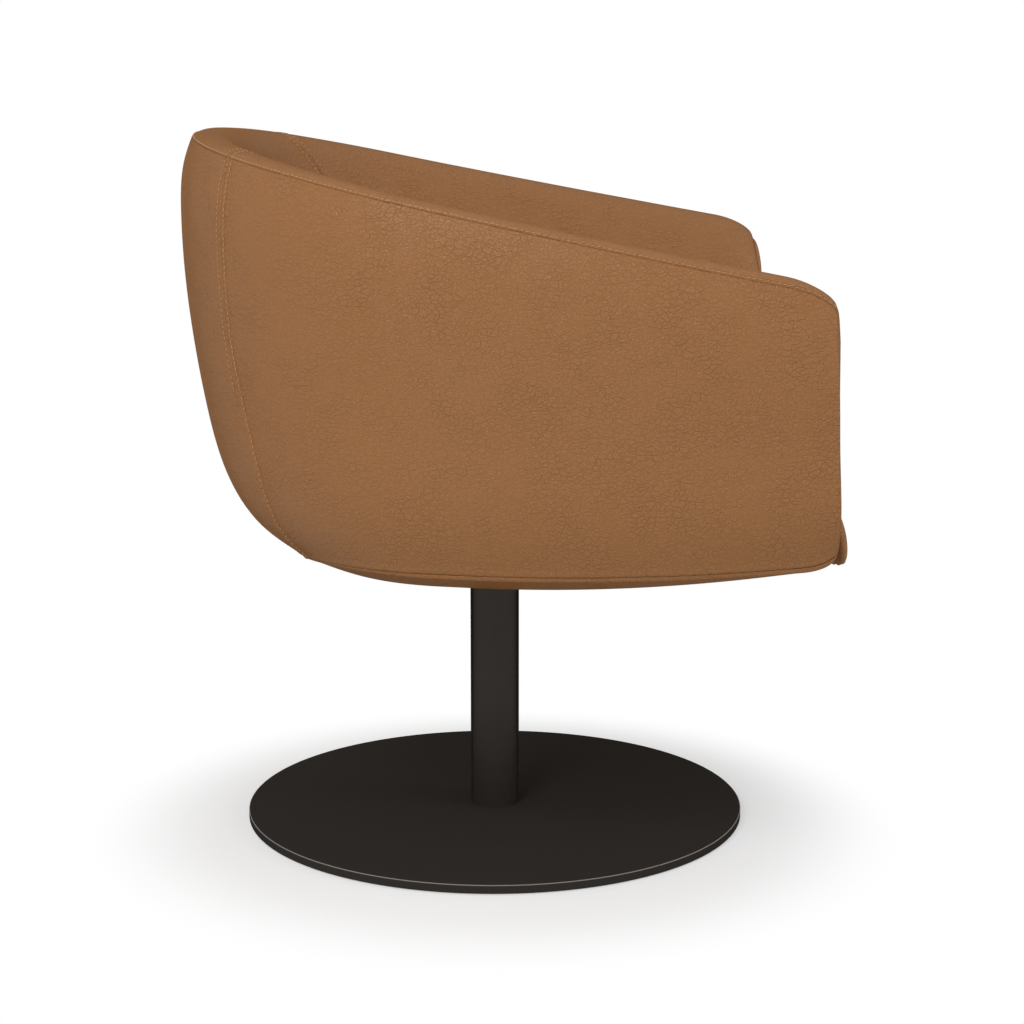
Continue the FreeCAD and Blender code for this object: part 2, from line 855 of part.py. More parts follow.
def nose_foot(side):
    """Height of the nose's lower edge: it follows the underside between the arms."""
    front = facing_at(arm_front)
    heel_side, _, heel_height = heel_place(front)
    foot_row = under_rows(front)[1]
    foot_side = place(front, foot_row).x
    slope = (foot_row[1] - heel_height) / (foot_side - heel_side)
    return heel_height + slope * max(0.0, abs(side) - heel_side)


def seat_solid(depth=0.0):
    """Cushion between the arms, this depth inside the leather."""
    block = loft([seat_profile(share * seat_half_width, depth) for share in seat_stations])
    facings = round_facings(arm_front - corner_length)
    wires = []
    for height, drawn_in in seat_side_rows:
        share = (seat_line_height - height) / (seat_line_height - pan_thickness)
        insets = []
        for at_line, at_foot in zip(seat_line_inset, inner_foot_inset):
            insets.append(at_line + share * (at_foot - at_line) + drawn_in + seat_side_gap + depth)
        wires.append(outline(insets, height, nose_reach_middle + cut_overrun, facings))
    return block.common(loft(wires))


seat_half_width = plan_at(facing_at(arm_front))[1] - inner_foot_inset[1]
arm_screw_facings = list(corner_screw_facings)
arm_screw_facings += [facing_at(arm_front - setback) for setback in arm_screw_setbacks]


if __name__ == "__main__":
    save("base_disc", base_disc())
    save("floor_ring", floor_ring())
    save("column_tube", column())
    save("foot_plug", foot_plug())
    save("foot_screws", *[foot_screw(x, y) for x, y in foot_screw_places()])
    save("lower_bush", lower_bush())
    save("upper_bush", upper_bush())
    save("thrust_washer", thrust_washer())

    save("spindle", spindle())
    save("stop_washer", stop_washer())
    save("stop_screw", stop_screw())
    save("seat_plate", seat_plate())
    save("plate_washers", *[plate_washer(x, y) for x, y in plate_holes()])
    save("plate_screws", *[plate_screw(x, y) for x, y in plate_holes()])
    save("tee_nuts", *[tee_nut(x, y) for x, y in plate_holes()])

    back_screws = [frame_screw(x, y) for x, y in frame_screw_places(back_screw_facings)]
    left_screws = [frame_screw(x, y) for x, y in frame_screw_places(arm_screw_facings)]
    right_screws = [frame_screw(x, y) for x, y in frame_screw_places([-f for f in arm_screw_facings])]
    all_screws = back_screws + left_screws + right_screws
    save("seat_pan", seat_pan(all_screws))
    save("front_rail", front_rail())
    save("frame_screws", *all_screws)

    save("back_frame", cut_all(wall_frame(back_facings), back_screws))
    save("back_foam", wall_foam(back_facings))
    save("outside_back_cover", outer_cover(back_facings))
    save("inside_back_cover", inner_cover(back_facings))
    for side_name, sign, screws in (("left", 1, left_screws), ("right", -1, right_screws)):
        facings = arm_facings(sign)
        inner_facings = arm_facings(sign, arm_front - leather)
        save(side_name + "_arm_frame", cut_all(wall_frame(inner_facings), screws))
        save(side_name + "_arm_foam", wall_foam(inner_facings))
        save("outside_" + side_name + "_cover", outer_cover(facings))
        save("inside_" + side_name + "_cover", inner_cover(facings))
        save(side_name + "_arm_facing", arm_facing(sign))

    save("under_border", under_border())
    save("underside_lining", underside_lining())
    seat_core = seat_solid(leather)
    save("seat_foam", seat_core)
    save("seat_cover", seat_solid().cut(seat_core))
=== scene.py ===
"""Looks of a low tub swivel chair: stitched tan leather over a padded shell, on a dark steel disc.

The solid parts are loaded first as a fixed frame. Each class below builds or dresses one sub-assembly in the
frame's own axes: +Z up, the sitter facing -Y, +X on the sitter's left, the origin on the floor below the
column. Sizes are in millimetres and become metres where vertices are made.
"""
import logging
import math
from collections.abc import Callable, Iterator
from dataclasses import dataclass
from enum import Enum
from functools import cached_property

import bpy
import numpy as np
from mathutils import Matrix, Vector
from mathutils.bvhtree import BVHTree


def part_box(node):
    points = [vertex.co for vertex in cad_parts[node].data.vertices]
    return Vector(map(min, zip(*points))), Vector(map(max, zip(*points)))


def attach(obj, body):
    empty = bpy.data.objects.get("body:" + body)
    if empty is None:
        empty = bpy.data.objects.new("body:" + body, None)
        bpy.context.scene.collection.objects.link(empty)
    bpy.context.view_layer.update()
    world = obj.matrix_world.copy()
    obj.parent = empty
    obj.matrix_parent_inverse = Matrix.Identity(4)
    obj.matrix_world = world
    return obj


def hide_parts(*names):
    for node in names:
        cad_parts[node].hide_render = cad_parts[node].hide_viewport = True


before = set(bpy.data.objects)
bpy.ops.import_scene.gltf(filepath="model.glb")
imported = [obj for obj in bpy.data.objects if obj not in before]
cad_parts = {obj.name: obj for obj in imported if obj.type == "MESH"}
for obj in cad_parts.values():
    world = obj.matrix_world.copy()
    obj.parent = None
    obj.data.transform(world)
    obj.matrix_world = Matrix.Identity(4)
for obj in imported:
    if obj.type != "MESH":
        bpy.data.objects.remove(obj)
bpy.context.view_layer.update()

MM = 0.001
GRID_GROWTH = 0.16
LOG = logging.getLogger("chair")
Rows = list[tuple[float, float]]
Humps = tuple[tuple[float, float, float], ...]
Line = tuple[np.ndarray, np.ndarray]
Piece = bpy.types.Object
Socket = bpy.types.NodeSocket
Tree = bpy.types.NodeTree


def linear(hex_colour: str) -> tuple[float, float, float, float]:
    """Turn an sRGB hex colour to linear light.

    Args:
        hex_colour: Six hex digits with a leading #.

    Returns:
        Red, green, blue and an alpha of 1.
    """
    values = [int(hex_colour[i:i + 2], 16) / 255 for i in (1, 3, 5)]
    light = [v / 12.92 if v <= 0.04045 else ((v + 0.055) / 1.055) ** 2.4 for v in values]
    return light[0], light[1], light[2], 1.0


def per_metre(size_mm: float) -> float:
    """Texture scale at which one cell measures this many millimetres."""
    return 1.0 / (size_mm * MM)


def per_wave(size_mm: float) -> float:
    """Scale of a wave texture at which its bands repeat at about this many millimetres."""
    return per_metre(3 * size_mm)


def fill_inputs(tree: Tree, node: bpy.types.Node, inputs: dict) -> None:
    """Link or set a node's inputs.

    Args:
        tree: Node tree of the material or world.
        node: The node.
        inputs: Input name or index, to a value or to the output socket that feeds it.
    """
    for key, value in inputs.items():
        if isinstance(value, Socket):
            tree.links.new(value, node.inputs[key])
        else:
            node.inputs[key].default_value = value


def add_node(tree: Tree, kind: str, inputs: dict | None = None, **settings) -> bpy.types.Node:
    """Add a node, set its properties and fill its inputs.

    Args:
        tree: Node tree of the material or world.
        kind: Blender's name of the node type, without its leading "ShaderNode".
        inputs: Input name or index, to a value or to the output socket that feeds it.
        **settings: Properties of the node.

    Returns:
        The new node.
    """
    node = tree.nodes.new("ShaderNode" + kind)
    for name, value in settings.items():
        setattr(node, name, value)
    fill_inputs(tree, node, inputs or {})
    return node


class Finish:
    """A surface finish that makes one procedural material."""

    def material(self, name: str) -> bpy.types.Material:
        """Make the material.

        Args:
            name: Name of the material.

        Returns:
            A material whose principled shader has this finish's look.
        """
        made = bpy.data.materials.new(name)
        made.use_nodes = True
        tree = made.node_tree
        place = add_node(tree, "TexCoord").outputs["Object"]
        fill_inputs(tree, tree.nodes["Principled BSDF"], self.look(tree, place))
        return made

    def look(self, tree: Tree, place: Socket) -> dict:
        """Inputs of the principled shader, from the position on the object."""
        raise NotImplementedError

    @staticmethod
    def two_tone(tree: Tree, share: Socket, colours: tuple, height: Socket, depth_mm: float) -> dict:
        """Two colours over a relief.

        Args:
            tree: Node tree of the material.
            share: Share of the second colour.
            colours: The two colours, each a linear colour or a socket.
            height: Relief from 0 to 1.
            depth_mm: Depth of the relief.

        Returns:
            The shader's base colour and normal.
        """
        mixed = add_node(tree, "Mix", {0: share, 6: colours[0], 7: colours[1]}, data_type="RGBA")
        bump = add_node(tree, "Bump", {"Height": height, "Distance": depth_mm * MM})
        return {"Base Color": mixed.outputs[2], "Normal": bump.outputs[0]}


@dataclass(frozen=True)
class GrainedLeather(Finish):
    """Semi-aniline cowhide, drum dyed and embossed: pebbles, fine wrinkles and a thin satin top coat."""

    colour: str = "#A06E42"
    dark: str = "#7A5230"
    light: str = "#A8784D"
    pebble_mm: float = 3.4
    pebble_height: float = 0.42
    pebble_creases: tuple = (0.9, 0.13)
    wrinkle_mm: float = 6.5
    wrinkle_stretch: float = 1.4
    wrinkle_creases: tuple = (1.5, 0.12)
    wander_cells: float = 1.8
    pore_mm: float = 0.9
    pore_height: float = 0.2
    patch_mm: float = 35.0
    patch_edges: tuple = (0.35, 0.65)
    faint_wrinkles: float = 0.35
    cloud_mm: float = 70.0
    cloud_edges: tuple = (0.3, 0.7)
    cloud_share: float = 0.16
    crease_share: float = 0.20
    grain_depth_mm: float = 0.42
    roughness: float = 0.55
    coat_share: float = 0.38
    coat_share_aslant: float = 0.06
    coat_aslant: tuple = (0.35, 0.85)
    coat_roughness: float = 0.27

    def cells(self, tree: Tree, place: Socket, size_mm: float, creases: tuple[float, float]) -> Socket:
        """Rounded cells with creases between them.

        Args:
            tree: Node tree of the material.
            place: Position that the cells follow.
            size_mm: Usual size of a cell.
            creases: How far the creases wander and how wide they are, as shares of a cell.

        Returns:
            0 in a crease and 1 on a cell.
        """
        bend, width = creases
        wander = add_node(tree, "TexNoise", {
            "Vector": place, "Scale": per_metre(self.wander_cells * size_mm), "Detail": 2.0})
        reach = (bend * size_mm * MM,) * 3
        bent = add_node(tree, "VectorMath", {0: wander.outputs["Color"], 1: reach, 2: place},
                        operation="MULTIPLY_ADD")
        edges = add_node(tree, "TexVoronoi", {"Vector": bent.outputs[0], "Scale": per_metre(size_mm)},
                         feature="DISTANCE_TO_EDGE")
        return add_node(tree, "MapRange", {"Value": edges.outputs["Distance"], "From Max": width},
                        interpolation_type="SMOOTHSTEP").outputs[0]

    def look(self, tree: Tree, place: Socket) -> dict:
        """Pebbles and drawn-out wrinkles, darker in their creases, with clouds of paler dye."""
        drawn = add_node(tree, "Mapping", {
            "Vector": place, "Scale": (1.0, 1.0, self.wrinkle_stretch)}).outputs[0]
        pebbles = self.cells(tree, place, self.pebble_mm, self.pebble_creases)
        wrinkles = self.cells(tree, drawn, self.wrinkle_mm, self.wrinkle_creases)
        pores, patches, clouds = (
            add_node(tree, "TexNoise", {
                "Vector": place, "Scale": per_metre(size), "Detail": detail}).outputs["Fac"]
            for size, detail in ((self.pore_mm, 2.0), (self.patch_mm, 2.0), (self.cloud_mm, 3.0)))
        wrinkled = add_node(tree, "MapRange", {
            "Value": patches, "From Min": self.patch_edges[0], "From Max": self.patch_edges[1],
            "To Min": self.faint_wrinkles})
        height = add_node(tree, "Math", {0: wrinkles, 1: wrinkled.outputs[0]}, operation="MULTIPLY")
        for part, weight in ((pebbles, self.pebble_height), (pores, self.pore_height)):
            height = add_node(tree, "Math", {0: part, 1: weight, 2: height.outputs[0]},
                              operation="MULTIPLY_ADD")
        paler = add_node(tree, "MapRange", {
            "Value": clouds, "From Min": self.cloud_edges[0], "From Max": self.cloud_edges[1],
            "To Max": self.cloud_share})
        dyed = add_node(tree, "Mix", {0: paler.outputs[0], 6: linear(self.colour), 7: linear(self.light)},
                        data_type="RGBA")
        crease = add_node(tree, "Math", {0: wrinkles, 1: pebbles}, operation="MULTIPLY")
        darker = add_node(tree, "MapRange", {
            "Value": crease.outputs[0], "To Min": self.crease_share, "To Max": 0.0})
        # The coat loses its gloss aslant, so that the edges keep their colour.
        facing = add_node(tree, "LayerWeight", {"Blend": 0.5})
        gloss = add_node(tree, "MapRange", {
            "Value": facing.outputs["Facing"], "From Min": self.coat_aslant[0],
            "From Max": self.coat_aslant[1], "To Min": self.coat_share, "To Max": self.coat_share_aslant})
        colours = dyed.outputs[2], linear(self.dark)
        skin = self.two_tone(tree, darker.outputs[0], colours, height.outputs[0], self.grain_depth_mm)
        return {**skin, "Coat Normal": skin["Normal"], "Roughness": self.roughness, "Specular IOR Level": 0.0,
                "Coat Weight": gloss.outputs[0], "Coat Roughness": self.coat_roughness}


@dataclass(frozen=True)
class BondedThread(Finish):
    """Bonded polyester thread: a paler tan than the leather, twisted, with a soft gloss."""

    colour: str = "#CBA27C"
    shade: str = "#AC835D"
    ply_mm: float = 0.5
    depth_mm: float = 0.1
    roughness: float = 0.5

    def look(self, tree: Tree, place: Socket) -> dict:
        """The twist shows as fine slanted bands, one for two plies."""
        twist = add_node(tree, "TexWave", {
            "Vector": place, "Scale": per_wave(2 * self.ply_mm), "Distortion": 1.5},
            bands_direction="DIAGONAL").outputs["Fac"]
        colours = linear(self.shade), linear(self.colour)
        return {**self.two_tone(tree, twist, colours, twist, self.depth_mm), "Roughness": self.roughness}


@dataclass(frozen=True)
class BronzePowderCoat(Finish):
    """Near-black bronze powder coat with fine metal flake, and a painted highlight: a paler ring along a
    round top edge.
    """

    colour: str
    flake: str
    metal_share: float
    roughness: float
    edge_tint: str
    # Colour, radius, half width and least height of the painted highlight on the top edge's chamfer.
    painted_highlight: str = "#8E8A85"
    painted_highlight_radius_mm: float = 0.0
    painted_highlight_half_width_mm: float = 0.36
    painted_highlight_above_mm: float = 9.25
    peel_mm: float = 1.8
    peel_depth_mm: float = 0.012
    flake_mm: float = 0.6
    flake_edges: tuple = (0.45, 0.75)
    flake_share: float = 0.35
    cloud_mm: float = 90.0
    gloss_drift: float = 0.03

    def look(self, tree: Tree, place: Socket) -> dict:
        """Flake and a slow drift of gloss over a faint orange peel, and the ring of painted highlight."""
        flakes, clouds, peel = (
            add_node(tree, "TexNoise", {
                "Vector": place, "Scale": per_metre(size), "Detail": detail}).outputs["Fac"]
            for size, detail in ((self.flake_mm, 1.0), (self.cloud_mm, 2.0), (self.peel_mm, 1.0)))
        share = add_node(tree, "MapRange", {
            "Value": flakes, "From Min": self.flake_edges[0], "From Max": self.flake_edges[1],
            "To Max": self.flake_share})
        coat = add_node(tree, "Mix", {0: share.outputs[0], 6: linear(self.colour), 7: linear(self.flake)},
                        data_type="RGBA")
        # A paler ring on the top edge's chamfer, above a given height, is a painted highlight.
        level = add_node(tree, "VectorMath", {0: place, 1: (1.0, 1.0, 0.0)}, operation="MULTIPLY")
        radius = add_node(tree, "VectorMath", {0: level.outputs[0]}, operation="LENGTH")
        ring = add_node(tree, "Math", {
            0: radius.outputs["Value"], 1: self.painted_highlight_radius_mm * MM, 2: self.painted_highlight_half_width_mm * MM},
            operation="COMPARE")
        height = add_node(tree, "SeparateXYZ", {0: place}).outputs["Z"]
        top = add_node(tree, "Math", {0: height, 1: self.painted_highlight_above_mm * MM}, operation="GREATER_THAN")
        painted_highlight_share = add_node(tree, "Math", {0: ring.outputs[0], 1: top.outputs[0]}, operation="MULTIPLY")
        gloss = add_node(tree, "MapRange", {
            "Value": clouds, "To Min": self.roughness - self.gloss_drift,
            "To Max": self.roughness + self.gloss_drift})
        colours = coat.outputs[2], linear(self.painted_highlight)
        skin = self.two_tone(tree, painted_highlight_share.outputs[0], colours, peel, self.peel_depth_mm)
        return {**skin, "Roughness": gloss.outputs[0], "Metallic": self.metal_share,
                "Specular IOR Level": 0.0, "Specular Tint": linear(self.edge_tint)}


@dataclass(frozen=True)
class TurnedSteel(Finish):
    """Zinc-plated turned steel: fine rings left by the lathe."""

    colour: str = "#B4B4B2"
    stain: str = "#8F9090"
    stain_mm: float = 25.0
    ring_mm: float = 0.8
    depth_mm: float = 0.02
    roughness: float = 0.34
    gloss_drift: float = 0.08

    def look(self, tree: Tree, place: Socket) -> dict:
        """Rings run across the Z axis, two to a band."""
        rings = add_node(tree, "TexWave", {
            "Vector": place, "Scale": per_wave(2 * self.ring_mm), "Distortion": 0.6},
            bands_direction="Z").outputs["Fac"]
        gloss = add_node(tree, "MapRange", {
            "Value": rings, "To Min": self.roughness - self.gloss_drift,
            "To Max": self.roughness + self.gloss_drift})
        stain = add_node(tree, "TexNoise", {
            "Vector": place, "Scale": per_metre(self.stain_mm), "Detail": 3.0}).outputs["Fac"]
        colours = linear(self.colour), linear(self.stain)
        return {**self.two_tone(tree, stain, colours, rings, self.depth_mm),
                "Roughness": gloss.outputs[0], "Metallic": 1.0}


@dataclass(frozen=True)
class Timber(Finish):
    """Sawn timber or ply: streaky grain along one axis with darker growth bands."""

    colour: str
    dark: str
    band_mm: float
    fibre_mm: float = 0.8
    fibre_squeeze: float = 0.12
    depth_mm: float = 0.08
    roughness: float = 0.62

    def look(self, tree: Tree, place: Socket) -> dict:
        """Growth bands are a distorted wave, drawn out along X."""
        drawn = add_node(tree, "Mapping", {
            "Vector": place, "Scale": (self.fibre_squeeze, 1.0, 1.0)}).outputs[0]
        bands = add_node(tree, "TexWave", {
            "Vector": drawn, "Scale": per_wave(self.band_mm), "Distortion": 3.0, "Detail": 3.0},
            bands_direction="Y").outputs["Fac"]
        fibres = add_node(tree, "TexNoise", {
            "Vector": drawn, "Scale": per_metre(self.fibre_mm), "Detail": 3.0}).outputs["Fac"]
        share = add_node(tree, "Math", {0: bands, 1: fibres}, operation="MULTIPLY").outputs[0]
        colours = linear(self.colour), linear(self.dark)
        return {**self.two_tone(tree, share, colours, fibres, self.depth_mm), "Roughness": self.roughness}


@dataclass(frozen=True)
class MouldedPolymer(Finish):
    """Moulded acetal, rubber or foam: an even colour with a fine skin texture."""

    colour: str
    dark: str
    skin_mm: float
    depth_mm: float
    roughness: float
    drift_mm: float = 30.0

    def look(self, tree: Tree, place: Socket) -> dict:
        """Skin texture from noise, with a slow drift of colour."""
        skin = add_node(tree, "TexNoise", {"Vector": place, "Scale": per_metre(self.skin_mm), "Detail": 3.0})
        drift = add_node(tree, "TexNoise", {"Vector": place, "Scale": per_metre(self.drift_mm)})
        colours = linear(self.colour), linear(self.dark)
        return {**self.two_tone(tree, drift.outputs["Fac"], colours, skin.outputs["Fac"], self.depth_mm),
                "Roughness": self.roughness}


@dataclass(frozen=True)
class WovenCloth(Finish):
    """Black polypropylene lining: a plain weave, drawn coarser than real so that it shows."""

    colour: str = "#1B1A19"
    light: str = "#343230"
    thread_mm: float = 1.2
    depth_mm: float = 0.2
    roughness: float = 0.85

    def look(self, tree: Tree, place: Socket) -> dict:
        """Two crossed waves stand for warp and weft."""
        warp, weft = (
            add_node(tree, "TexWave", {"Vector": place, "Scale": per_wave(2 * self.thread_mm)},
                     bands_direction=axis).outputs["Fac"] for axis in "XY")
        weave = add_node(tree, "Math", {0: warp, 1: weft}, operation="MULTIPLY").outputs[0]
        colours = linear(self.colour), linear(self.light)
        return {**self.two_tone(tree, weave, colours, weave, self.depth_mm), "Roughness": self.roughness}


class Stuff(Enum):
    """The chair's finishes, with the record's slot that each one stands for."""

    LEATHER = ("tan_leather", GrainedLeather())
    THREAD = ("tan_leather", BondedThread())
    COATED_DISC = ("powder_coated_steel", BronzePowderCoat(
        "#393532", "#44403D", metal_share=0.02, roughness=0.5, edge_tint="#8A8784", painted_highlight_radius_mm=259.6))
    COATED_TUBE = ("powder_coated_steel", BronzePowderCoat(
        "#3E3A37", "#4C4743", metal_share=0.5, roughness=0.38, edge_tint="#6A6764"))
    PLAIN_STEEL = ("plain_steel", TurnedSteel())
    ACETAL = ("bearing_plastic", MouldedPolymer("#D9D5C8", "#C9C4B4", 0.8, 0.02, 0.45))
    RUBBER = ("black_rubber", MouldedPolymer("#151515", "#202020", 0.6, 0.05, 0.8))
    FOAM = ("foam", MouldedPolymer("#D8D2B8", "#C4BC9C", 1.4, 0.5, 0.95))
    PLY = ("plywood", Timber("#C9A574", "#9C7444", 4.0))
    BEECH = ("beech", Timber("#CFA377", "#B07F52", 7.0))
    LINING = ("lining_cloth", WovenCloth())

    @property
    def slot(self) -> str:
        """The record's material slot."""
        return self.value[0]

    def material(self) -> bpy.types.Material:
        """The finish's material, made on its first use."""
        name = self.name.lower()
        return bpy.data.materials.get(name) or self.value[1].material(name)


def bell(distance: np.ndarray, centre: float, width: float) -> np.ndarray:
    """A smooth hump of height 1 at a distance."""
    return np.exp(-((distance - centre) / width) ** 2)


def relief(distance: np.ndarray, humps: Humps) -> np.ndarray:
    """Height of a sewn edge's relief.

    Args:
        distance: Distance from the edge.
        humps: Height, centre and width of each hump; a groove has a negative height.

    Returns:
        One height for each distance.
    """
    return sum(height * bell(distance, centre, width) for height, centre, width in humps)


def soft_step(share: np.ndarray) -> np.ndarray:
    """Ease a share from 0 to 1, flat at both ends."""
    share = np.clip(share, 0, 1)
    return share * share * (3 - 2 * share)


def run_along(line: np.ndarray) -> np.ndarray:
    """Distance along a line at each of its points."""
    return np.concatenate([[0.0], np.cumsum(np.linalg.norm(np.diff(line, axis=0), axis=1))])


def spread(line: np.ndarray, shares: np.ndarray) -> np.ndarray:
    """Points of a line at shares of its length."""
    run = run_along(line)
    return np.stack([np.interp(shares * run[-1], run, line[:, k]) for k in range(line.shape[1])], axis=1)


def smooth_curve(rows: Rows, shares: np.ndarray) -> np.ndarray:
    """Natural cubic spline through a section's rows.

    Args:
        rows: Insets and heights.
        shares: Shares of the curve's length, from 0 to 1.

    Returns:
        An inset and a height for each share.
    """
    knots = np.array(rows, float)
    at = run_along(knots)
    steps = np.diff(at)
    slopes = np.diff(knots, axis=0) / steps[:, None]
    count = len(knots)
    matrix = np.eye(count)
    right = np.zeros_like(knots)
    for i in range(1, count - 1):
        matrix[i, i - 1:i + 2] = steps[i - 1], 2 * (steps[i - 1] + steps[i]), steps[i]
        right[i] = 6 * (slopes[i] - slopes[i - 1])
    second = np.linalg.solve(matrix, right)
    fine = np.linspace(0.0, at[-1], 400)
    index = np.clip(np.searchsorted(at, fine, side="right") - 1, 0, count - 2)
    length = steps[index][:, None]
    curve = 0
    for near, gap in ((index, at[index + 1] - fine), (index + 1, fine - at[index])):
        gap = gap[:, None]
        curve = curve + second[near] * gap ** 3 / (6 * length)
        curve = curve + (knots[near] / length - second[near] * length / 6) * gap
    return spread(curve, shares)


def graded(length: float, fine: float, coarse: float, end: bool = True) -> np.ndarray:
    """Shares along an edge, close together near its sewn ends and wide apart in the middle.

    Args:
        length: Length of the edge in millimetres.
        fine: Step at a sewn end.
        coarse: Largest step.
        end: Whether the far end is sewn too.

    Returns:
        Shares from 0 to 1.
    """
    places = [0.0]
    while places[-1] < length:
        to_end = length - places[-1] if end else length
        places.append(places[-1] + min(coarse, fine + GRID_GROWTH * max(0.0, min(places[-1], to_end))))
    return np.array(places) / places[-1]


def gentle_waves(points: np.ndarray, seed: int, size: float, height: float, count: int = 9) -> np.ndarray:
    """Slow uneven waves, such as leather shows over foam.

    Args:
        points: Points in millimetres.
        seed: Seed of the waves' directions.
        size: Usual length of a wave in millimetres.
        height: Usual height in millimetres.
        count: How many waves cross each other.

    Returns:
        One height for each point.
    """
    random = np.random.default_rng(seed)
    total = np.zeros(points.shape[:-1])
    for _ in range(count):
        direction = random.normal(size=3)
        direction /= np.linalg.norm(direction)
        wave = size * random.uniform(0.7, 1.6)
        total += np.sin(points @ direction * 2 * math.pi / wave + random.uniform(0, 2 * math.pi))
    return total * height / math.sqrt(count)


@dataclass(frozen=True)
class ShellShape:
    """Plan and sections of the upholstered shell, in millimetres.

    The plan is the rim's stitched edge: a back arc, a corner arc and a nearly straight side arc. A place on
    it is given by its distance "along" from the middle of the back, negative on the sitter's right. A section
    is a list of (inset from the edge, height above the floor). A knot of a section has an inset and a height,
    and a pair holds the back's and the side's value.
    """

    back_reach: float = 300.0
    back_radius: float = 460.0
    back_turn: float = 18.0
    corner_radius: float = 283.5
    corner_turn: float = 60.0
    side_radius: float = 2500.0
    arm_front: float = 299.0
    front_lean: float = 2.3
    front_lean_height: float = 580.0
    seam_facing: float = 34.5
    crown_height: float = 652.0
    crown_slope: float = 0.2013
    crown_sag: float = 0.000035
    crown_inset: float = 17.0
    edge_below_crown: float = 3.5
    corner_length: float = 45.0
    corner_fall: float = 20.0
    foot_corner_length: float = 27.0
    corner_pinch: float = 4.0
    shoulder: tuple = ((-8.5, -5.0), (24.0, 30.0))
    widest: tuple = ((-13.0, -8.0), (72.0, 110.0))
    waist: tuple = ((8.0, -6.0), (444.4, 450.0))
    tuck: tuple = ((52.6, 0.0), (336.0, 365.0))
    tuck_rise_share: float = 0.5
    welt: tuple = ((100.0, 12.0), (301.0, 327.5))
    welt_rise_share: float = 0.7
    welt_corner_lift: float = 4.7
    foot_corner_lift: float = 15.0
    foot: tuple = ((165.0, 127.0), (278.0, 291.0))
    heel: tuple = ((200.0, 200.0), (275.0, 279.0))
    underside_rise: float = 0.00024
    rise_start: float = -42.0
    brow: tuple = (36.0, 7.0)
    inner_edge: tuple = (50.0, 28.0)
    inner_upper: tuple = (63.0, 64.0)
    inner_middle: tuple = ((90.0, 75.0), (490.0, 490.0))
    seat_line: tuple = ((114.0, 92.0), (415.0, 415.0))
    inner_foot: tuple = ((119.0, 101.0), (370.0, 370.0))
    rim_seam_drop: tuple = (0.8, 4.4)
    outer_drop_shares: tuple = (0.8, 0.6)
    inner_drop_shares: tuple = (1.0, 1.0, 0.8, 0.4)

    @property
    def back_length(self) -> float:
        """Length of the back arc on one side."""
        return self.back_radius * math.radians(self.back_turn)

    @property
    def corner_end(self) -> float:
        """Distance along at which the corner arc ends."""
        return self.back_length + self.corner_radius * math.radians(self.corner_turn)

    @property
    def seam_along(self) -> float:
        """Distance along of the quarter seams at the rim."""
        return self.back_length + self.corner_radius * math.radians(self.seam_facing - self.back_turn)

    def facing(self, along: float) -> float:
        """Direction in which the wall faces, in degrees from straight back."""
        distance = abs(along)
        if distance <= self.back_length:
            turn = math.degrees(distance / self.back_radius)
        elif distance <= self.corner_end:
            turn = self.back_turn + math.degrees((distance - self.back_length) / self.corner_radius)
        else:
            turn = self.back_turn + self.corner_turn
            turn += math.degrees((distance - self.corner_end) / self.side_radius)
        return math.copysign(turn, along)

    def plan(self, along: float) -> tuple[float, float]:
        """Distance forward and to the side of the stitched edge."""
        turn = abs(self.facing(along))
        forward, side = -self.back_reach, 0.0
        corner_end = self.back_turn + self.corner_turn
        arcs = (
            (self.back_radius, 0.0, self.back_turn),
            (self.corner_radius, self.back_turn, corner_end),
            (self.side_radius, corner_end, 180.0),
        )
        for radius, start, end in arcs:
            a, b = math.radians(start), math.radians(min(turn, end))
            if b > a:
                forward += radius * (math.cos(a) - math.cos(b))
                side += radius * (math.sin(b) - math.sin(a))
        return forward, math.copysign(side, along)

    @cached_property
    def front_along(self) -> float:
        """Distance along at which the arm ends, found by halving."""
        low, high = self.corner_end, self.corner_end + 600.0
        for _ in range(50):
            middle = (low + high) / 2
            if self.plan(middle)[0] < self.arm_front:
                low = middle
            else:
                high = middle
        return low

    def mix(self, pair: tuple[float, float], along: float) -> float:
        """Value between the back's and the side's."""
        return pair[0] + (pair[1] - pair[0]) * math.sin(math.radians(self.facing(along))) ** 2

    def knots(self, names: str, along: float) -> list[tuple[float, float]]:
        """Insets and heights of the named knots at a distance along."""
        return [tuple(self.mix(pair, along) for pair in getattr(self, name)) for name in names.split()]

    def corner_share(self, along: float, length: float) -> float:
        """0 this far behind the arm's front, and 1 at the front."""
        return min(1.0, max(0.0, (self.plan(along)[0] - self.arm_front + length) / length))

    def front_share(self, along: float) -> float:
        """0 behind the arm's rounded top corner, 1 at the arm's front."""
        return self.corner_share(along, self.corner_length)

    def pinch(self, along: float) -> float:
        """How far both sides draw together towards the arm's front."""
        return self.corner_pinch * self.front_share(along) ** 3

    def crown(self, along: float) -> float:
        """Height of the rim's crown before the front corner is rounded."""
        forward = self.plan(along)[0]
        return self.crown_height - self.crown_slope * forward + self.crown_sag * forward ** 2

    def drop(self, along: float) -> float:
        """How far the rim has rounded down towards the arm's front."""
        return self.corner_fall * (1 - math.sqrt(1 - self.front_share(along) ** 2))

    def corner_lift(self, along: float) -> float:
        """How far the welt has curved up towards the arm's front."""
        share = self.corner_share(along, self.foot_corner_length)
        return self.foot_corner_lift * (1 - math.sqrt(1 - share ** 2))

    def rise(self, along: float) -> float:
        """How far the underside has risen towards the front."""
        return self.underside_rise * max(0.0, self.plan(along)[0] - self.rise_start) ** 2

